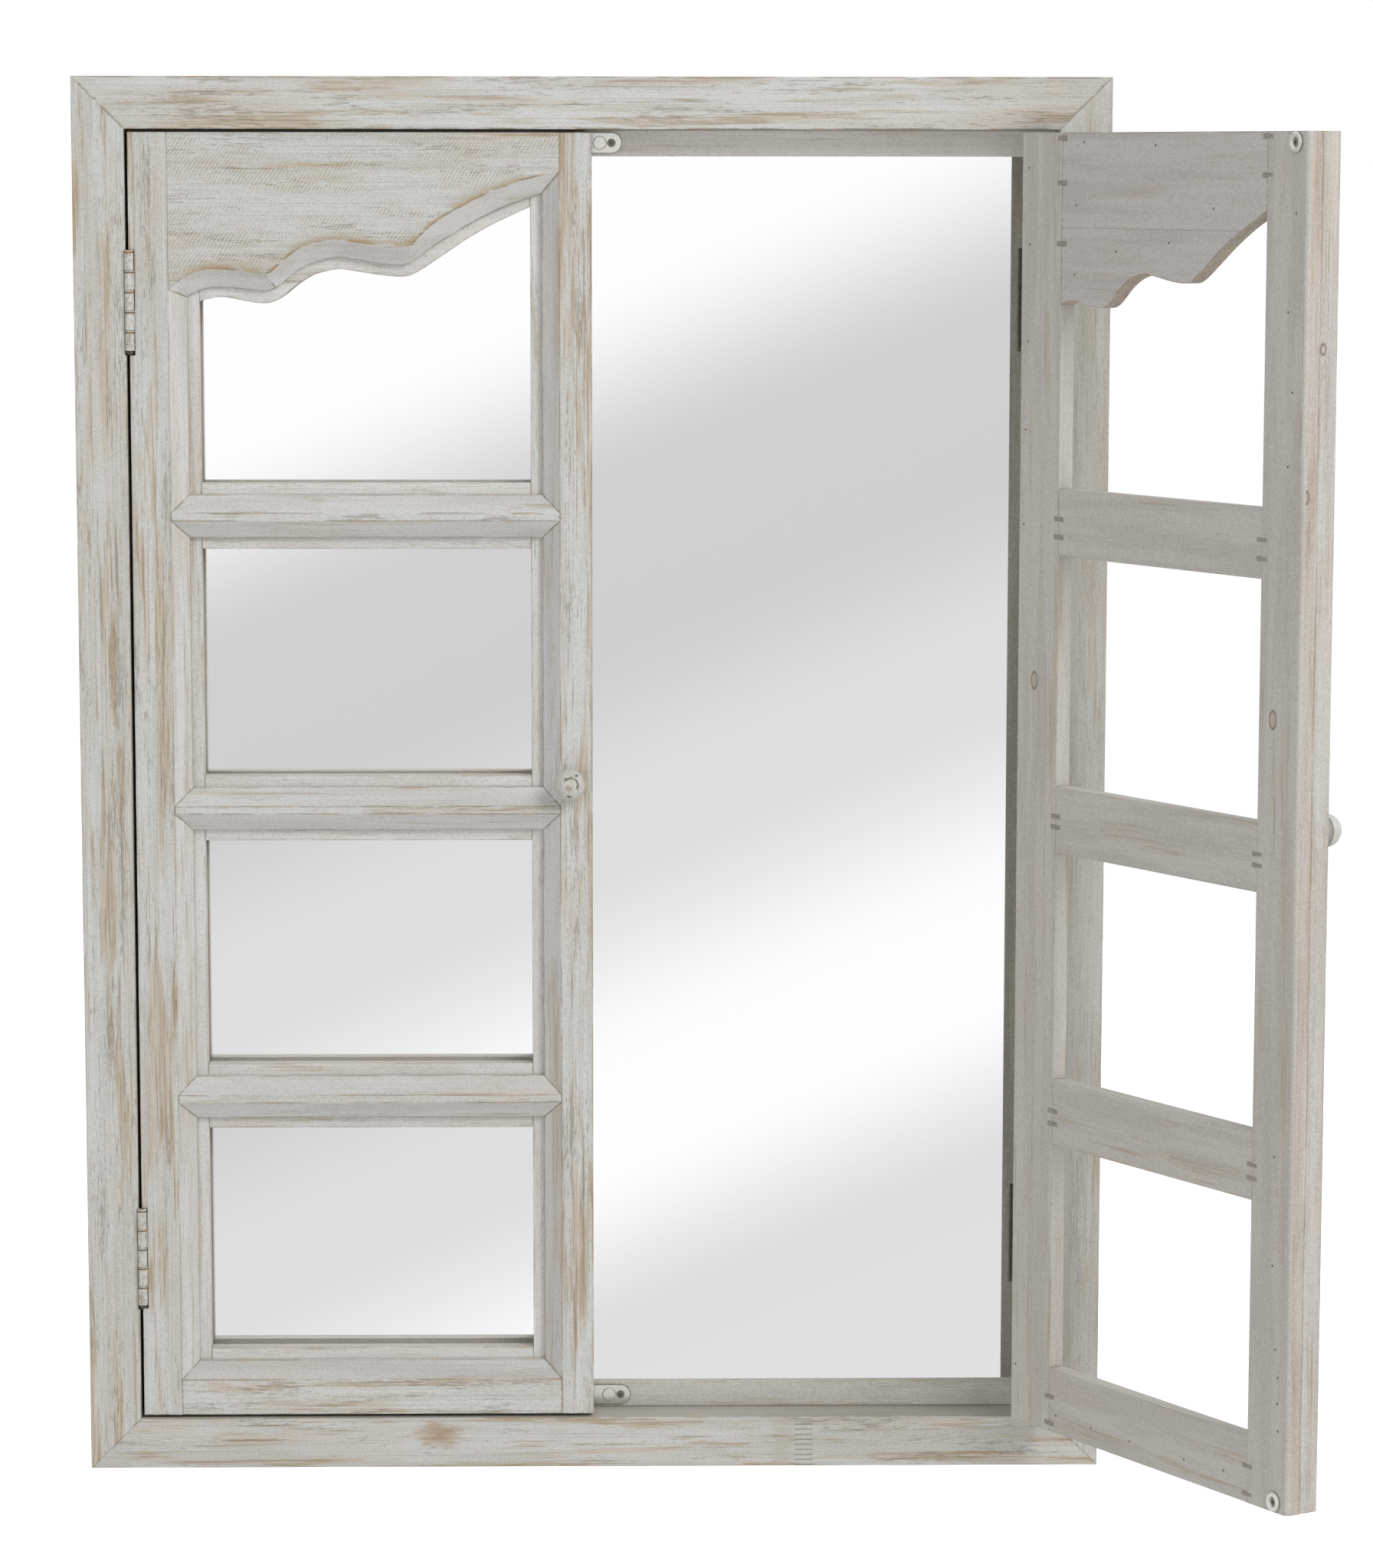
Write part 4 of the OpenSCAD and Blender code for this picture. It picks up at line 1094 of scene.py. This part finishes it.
def films_of(side):
    name = side + "_corrugated_fasteners"
    shutting = shut(name)
    fasteners = bmesh.new()
    fasteners.from_mesh(nodes[name].data)
    bmesh.ops.remove_doubles(fasteners, verts=fasteners.verts, dist=WELD)
    parts = loose_parts(fasteners)
    work = bmesh.new()
    for part in parts:
        low, high = corners([shutting @ v.co for v in part])
        middle = (low + high) / 2
        middle.y = high.y - FILM_SUNK
        size = (high.x - low.x + FILM_LAP, FILM, high.z - low.z + FILM_LAP)
        place = shutting.inverted() @ Matrix.Translation(middle) @ Matrix.Diagonal((*size, 1))
        bmesh.ops.create_cube(work, size=1.0, matrix=place)
    fasteners.free()
    film = new_piece(side + "_paint_films", work)
    film.data.materials.append(paint_film)
    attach(film, nodes[name]["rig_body"])
    return len(parts)


print([films_of(side) for side in ("left", "right")], "films of paint over fasteners")

# %% [markdown]
# ## Nails in the shutters' backs
# Fine wire nails hold the front layer to the back one. Their heads show as small dark dots
# on the open shutter. They are listed by their distance from the hinge edge and their
# height above the shutter's foot, and the shut one has the same nails on its hidden back.
# A ball squashed nearly flat makes a head that stands proud by a hair.

# %% Nail heads
NAIL_R = 0.75 * MM
NAIL_FLAT = 0.16  # a head's thickness, as a share of its width
NAILS = [
    (67, 826), (142, 824), (59, 787), (202, 786), (157, 765), (102, 759), (58, 744),
    (7, 810), (9, 762), (8, 701), (6, 645), (5, 585), (5, 37),
    (283, 784), (277, 726), (282, 679), (279, 635), (277, 219), (277, 152), (281, 101),
    (284, 84), (284, 68), (285, 51),
    (51, 12), (90, 12), (132, 12), (190, 13), (231, 15),
]


def nails_of(side):
    opened = shut(side + "_back_hinge_stile").inverted()
    flat = Matrix.Diagonal((1, NAIL_FLAT, 1, 1))
    work = bmesh.new()
    for along, height in NAILS:
        bmesh.ops.create_uvsphere(
            work,
            u_segments=12,
            v_segments=8,
            radius=NAIL_R,
            matrix=opened @ Matrix.Translation(on_shutter(side, along, height)) @ flat,
        )
    heads = new_piece(side + "_nail_heads", work)
    heads.data.materials.append(black_steel)
    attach(heads, nodes[side + "_back_hinge_stile"]["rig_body"])


for side in ("left", "right"):
    nails_of(side)
print(len(NAILS), "nail heads in each shutter")

# %% [markdown]
# ## Studio
# The picture was lit softly from the upper right. A bright, even world fills the shadows,
# and one large lamp gives the faces that look up and right their small lead. What the
# mirror shows is the world again: soft grey cards that slant across it. They could be real
# planes behind the camera, but a pattern on the world's directions casts no shadow and is
# easier to place. How far a direction lies across the slant picks its tone from a ramp. One
# card hangs lower than the rest, behind the shut shutter's lowest pane.

# %% Across the cards
CARD_SLANT = (0.43, 0.0, -1.0)
CARD_SPAN = 0.24
# The low card: where it starts and is full, leftward and downward, and how far it shifts.
CARD_LEFT = (-0.003, -0.013)
CARD_DOWN = (-0.170, -0.180)
CARD_DROP = -0.053

scene = bpy.context.scene
scene.view_settings.view_transform = "Standard"
world = bpy.data.worlds.new("studio")
scene.world = world
world.use_nodes = True
sky = world.node_tree
sky.nodes.clear()
direction = add(sky, "ShaderNodeTexCoord").outputs["Generated"]
across = {0: direction, 1: CARD_SLANT}
slant = add(sky, "ShaderNodeVectorMath", across, operation="DOT_PRODUCT").outputs["Value"]
side_x, _, rise_z = add(sky, "ShaderNodeSeparateXYZ", {0: direction}).outputs
reach = {"Value": side_x, "From Min": CARD_LEFT[0], "From Max": CARD_LEFT[1]}
leftward = add(sky, "ShaderNodeMapRange", reach).outputs["Result"]
reach = {"Value": rise_z, "From Min": CARD_DOWN[0], "From Max": CARD_DOWN[1], "To Max": CARD_DROP}
downward = add(sky, "ShaderNodeMapRange", reach).outputs["Result"]
drop = add(sky, "ShaderNodeMath", {0: leftward, 1: downward}, operation="MULTIPLY").outputs[0]
slant = add(sky, "ShaderNodeMath", {0: slant, 1: drop}, operation="ADD").outputs[0]
level = add(sky, "ShaderNodeMapRange", {"Value": slant, "From Max": CARD_SPAN}).outputs["Result"]
print("the cards slant by", round(math.degrees(math.atan(CARD_SLANT[0]))), "degrees")

# %% The cards' tones
CARDS = [
    (0.09, "#ffffff"), (0.26, "#d1d1d1"), (0.387, "#d0d0d0"), (0.513, "#dfdfdf"),
    (0.556, "#dfdfdf"), (0.725, "#fefefe"), (0.79, "#ffffff"), (0.927, "#dfdfdf"),
    (1.0, "#e1e1e1"),
]
cards = add(sky, "ShaderNodeValToRGB", {"Fac": level})
ramp = cards.color_ramp
ramp.interpolation = "EASE"
while len(ramp.elements) < len(CARDS):
    ramp.elements.new(0.5)
for element, (position, code) in zip(ramp.elements, CARDS):
    element.position = position
    element.color = linear(code)
print("mirror cards:", len(CARDS), "tones")

# %% [markdown]
# ## A world for each kind of ray
# The camera sees plain white, the mirror and the metals see the cards, and everything else
# is lit by a dimmer, slightly blue white, so that no pale board clips.

# %% World
FILL = 0.68
ray = add(sky, "ShaderNodeLightPath").outputs
glossy = add(sky, "ShaderNodeBackground", {"Color": cards.outputs["Color"], "Strength": 1.0})
white = add(sky, "ShaderNodeBackground", {"Color": WHITE, "Strength": 1.0})
fill = add(sky, "ShaderNodeBackground", {"Color": linear("#fbfbff"), "Strength": FILL})
by_ray = {"Fac": ray["Is Glossy Ray"], 1: fill.outputs[0], 2: glossy.outputs[0]}
lit = add(sky, "ShaderNodeMixShader", by_ray).outputs[0]
through = {0: ray["Is Camera Ray"], 1: ray["Is Transmission Ray"]}
seen = add(sky, "ShaderNodeMath", through, operation="MAXIMUM").outputs[0]
shown = add(sky, "ShaderNodeMixShader", {"Fac": seen, 1: lit, 2: white.outputs[0]}).outputs[0]
add(sky, "ShaderNodeOutputWorld", {"Surface": shown})
print("the world lights the boards at", FILL)

# %% [markdown]
# ## Floor, lamp and camera
# The mirror hangs, so the floor lies well below it. The lamp is a large disc to the upper
# right of the camera. The camera stands 3.4 m away, a little above the middle, and looks
# down by eight degrees. Its lens and place were fitted to the photo, in that picture's own
# pixels.

# %% Floor
FLOOR_Z = -1.35
FLOOR_HALF = 6.0
work = bmesh.new()
bmesh.ops.create_grid(work, x_segments=1, y_segments=1, size=FLOOR_HALF)
bmesh.ops.translate(work, verts=work.verts, vec=(0, 0, FLOOR_Z))
floor = new_piece("floor", work)
# Chalky white, with a glow that only the camera sees, so that the floor fades into the world.
chalk = bpy.data.materials.new("pale_floor")
chalk.use_nodes = True
tree = chalk.node_tree
tree.nodes.clear()
matte = add(tree, "ShaderNodeBsdfDiffuse", {"Color": linear("#f4f4f2")}).outputs[0]
glow = add(tree, "ShaderNodeEmission", {"Color": WHITE, "Strength": 0.6}).outputs[0]
both = add(tree, "ShaderNodeAddShader", {0: matte, 1: glow}).outputs[0]
rays = add(tree, "ShaderNodeLightPath").outputs
by_ray = {"Fac": rays["Is Camera Ray"], 1: matte, 2: both}
surface = add(tree, "ShaderNodeMixShader", by_ray).outputs[0]
add(tree, "ShaderNodeOutputMaterial", {"Surface": surface})
floor.data.materials.append(chalk)
floor.visible_glossy = False

# %% Lamp
LAMP_PLACE = (2.3, -2.6, 1.9)
MIRROR_MIDDLE = Vector((0, 0, -0.35))
key = bpy.data.lights.new("key", "AREA")
key.shape = "DISK"
key.size = 1.6
key.energy = 60
lamp = bpy.data.objects.new("key", key)
scene.collection.objects.link(lamp)
lamp.location = LAMP_PLACE
aim = MIRROR_MIDDLE - lamp.location
lamp.rotation_euler = aim.to_track_quat("-Z", "Y").to_euler()
print("key lamp", round(aim.length, 2), "m from the mirror")

# %% Camera
PHOTO = (1792, 2046)
FOCAL_PX, CENTRE_X, CENTRE_Y = 6818.5, 905.4, 1165.8
PITCH, YAW, ROLL = 0.1395, 0.0181, 0.0010  # in radians
CAMERA_PLACE = Vector((3.96, -3393.3, 57.9)) * MM
cam = bpy.data.cameras.new("camera")
cam.sensor_fit = "AUTO"
cam.sensor_width = 36.0
cam.lens = FOCAL_PX / PHOTO[1] * cam.sensor_width
cam.shift_x = (PHOTO[0] / 2 - CENTRE_X) / PHOTO[1]
cam.shift_y = (CENTRE_Y - PHOTO[1] / 2) / PHOTO[1]
cam.clip_end = 50
camera = bpy.data.objects.new("camera", cam)
scene.collection.objects.link(camera)
level_ahead = Vector((math.sin(YAW), math.cos(YAW), 0))
ahead = level_ahead * math.cos(PITCH) - Vector((0, 0, math.sin(PITCH)))
right = Vector((math.cos(YAW), -math.sin(YAW), 0))
up = right.cross(ahead)
turned_right = right * math.cos(ROLL) + up * math.sin(ROLL)
turned_up = up * math.cos(ROLL) - right * math.sin(ROLL)
pose = Matrix((turned_right, turned_up, -ahead)).transposed().to_4x4()
pose.translation = CAMERA_PLACE
camera.matrix_world = pose
scene.camera = camera
print("camera at", [round(v, 3) for v in camera.location])
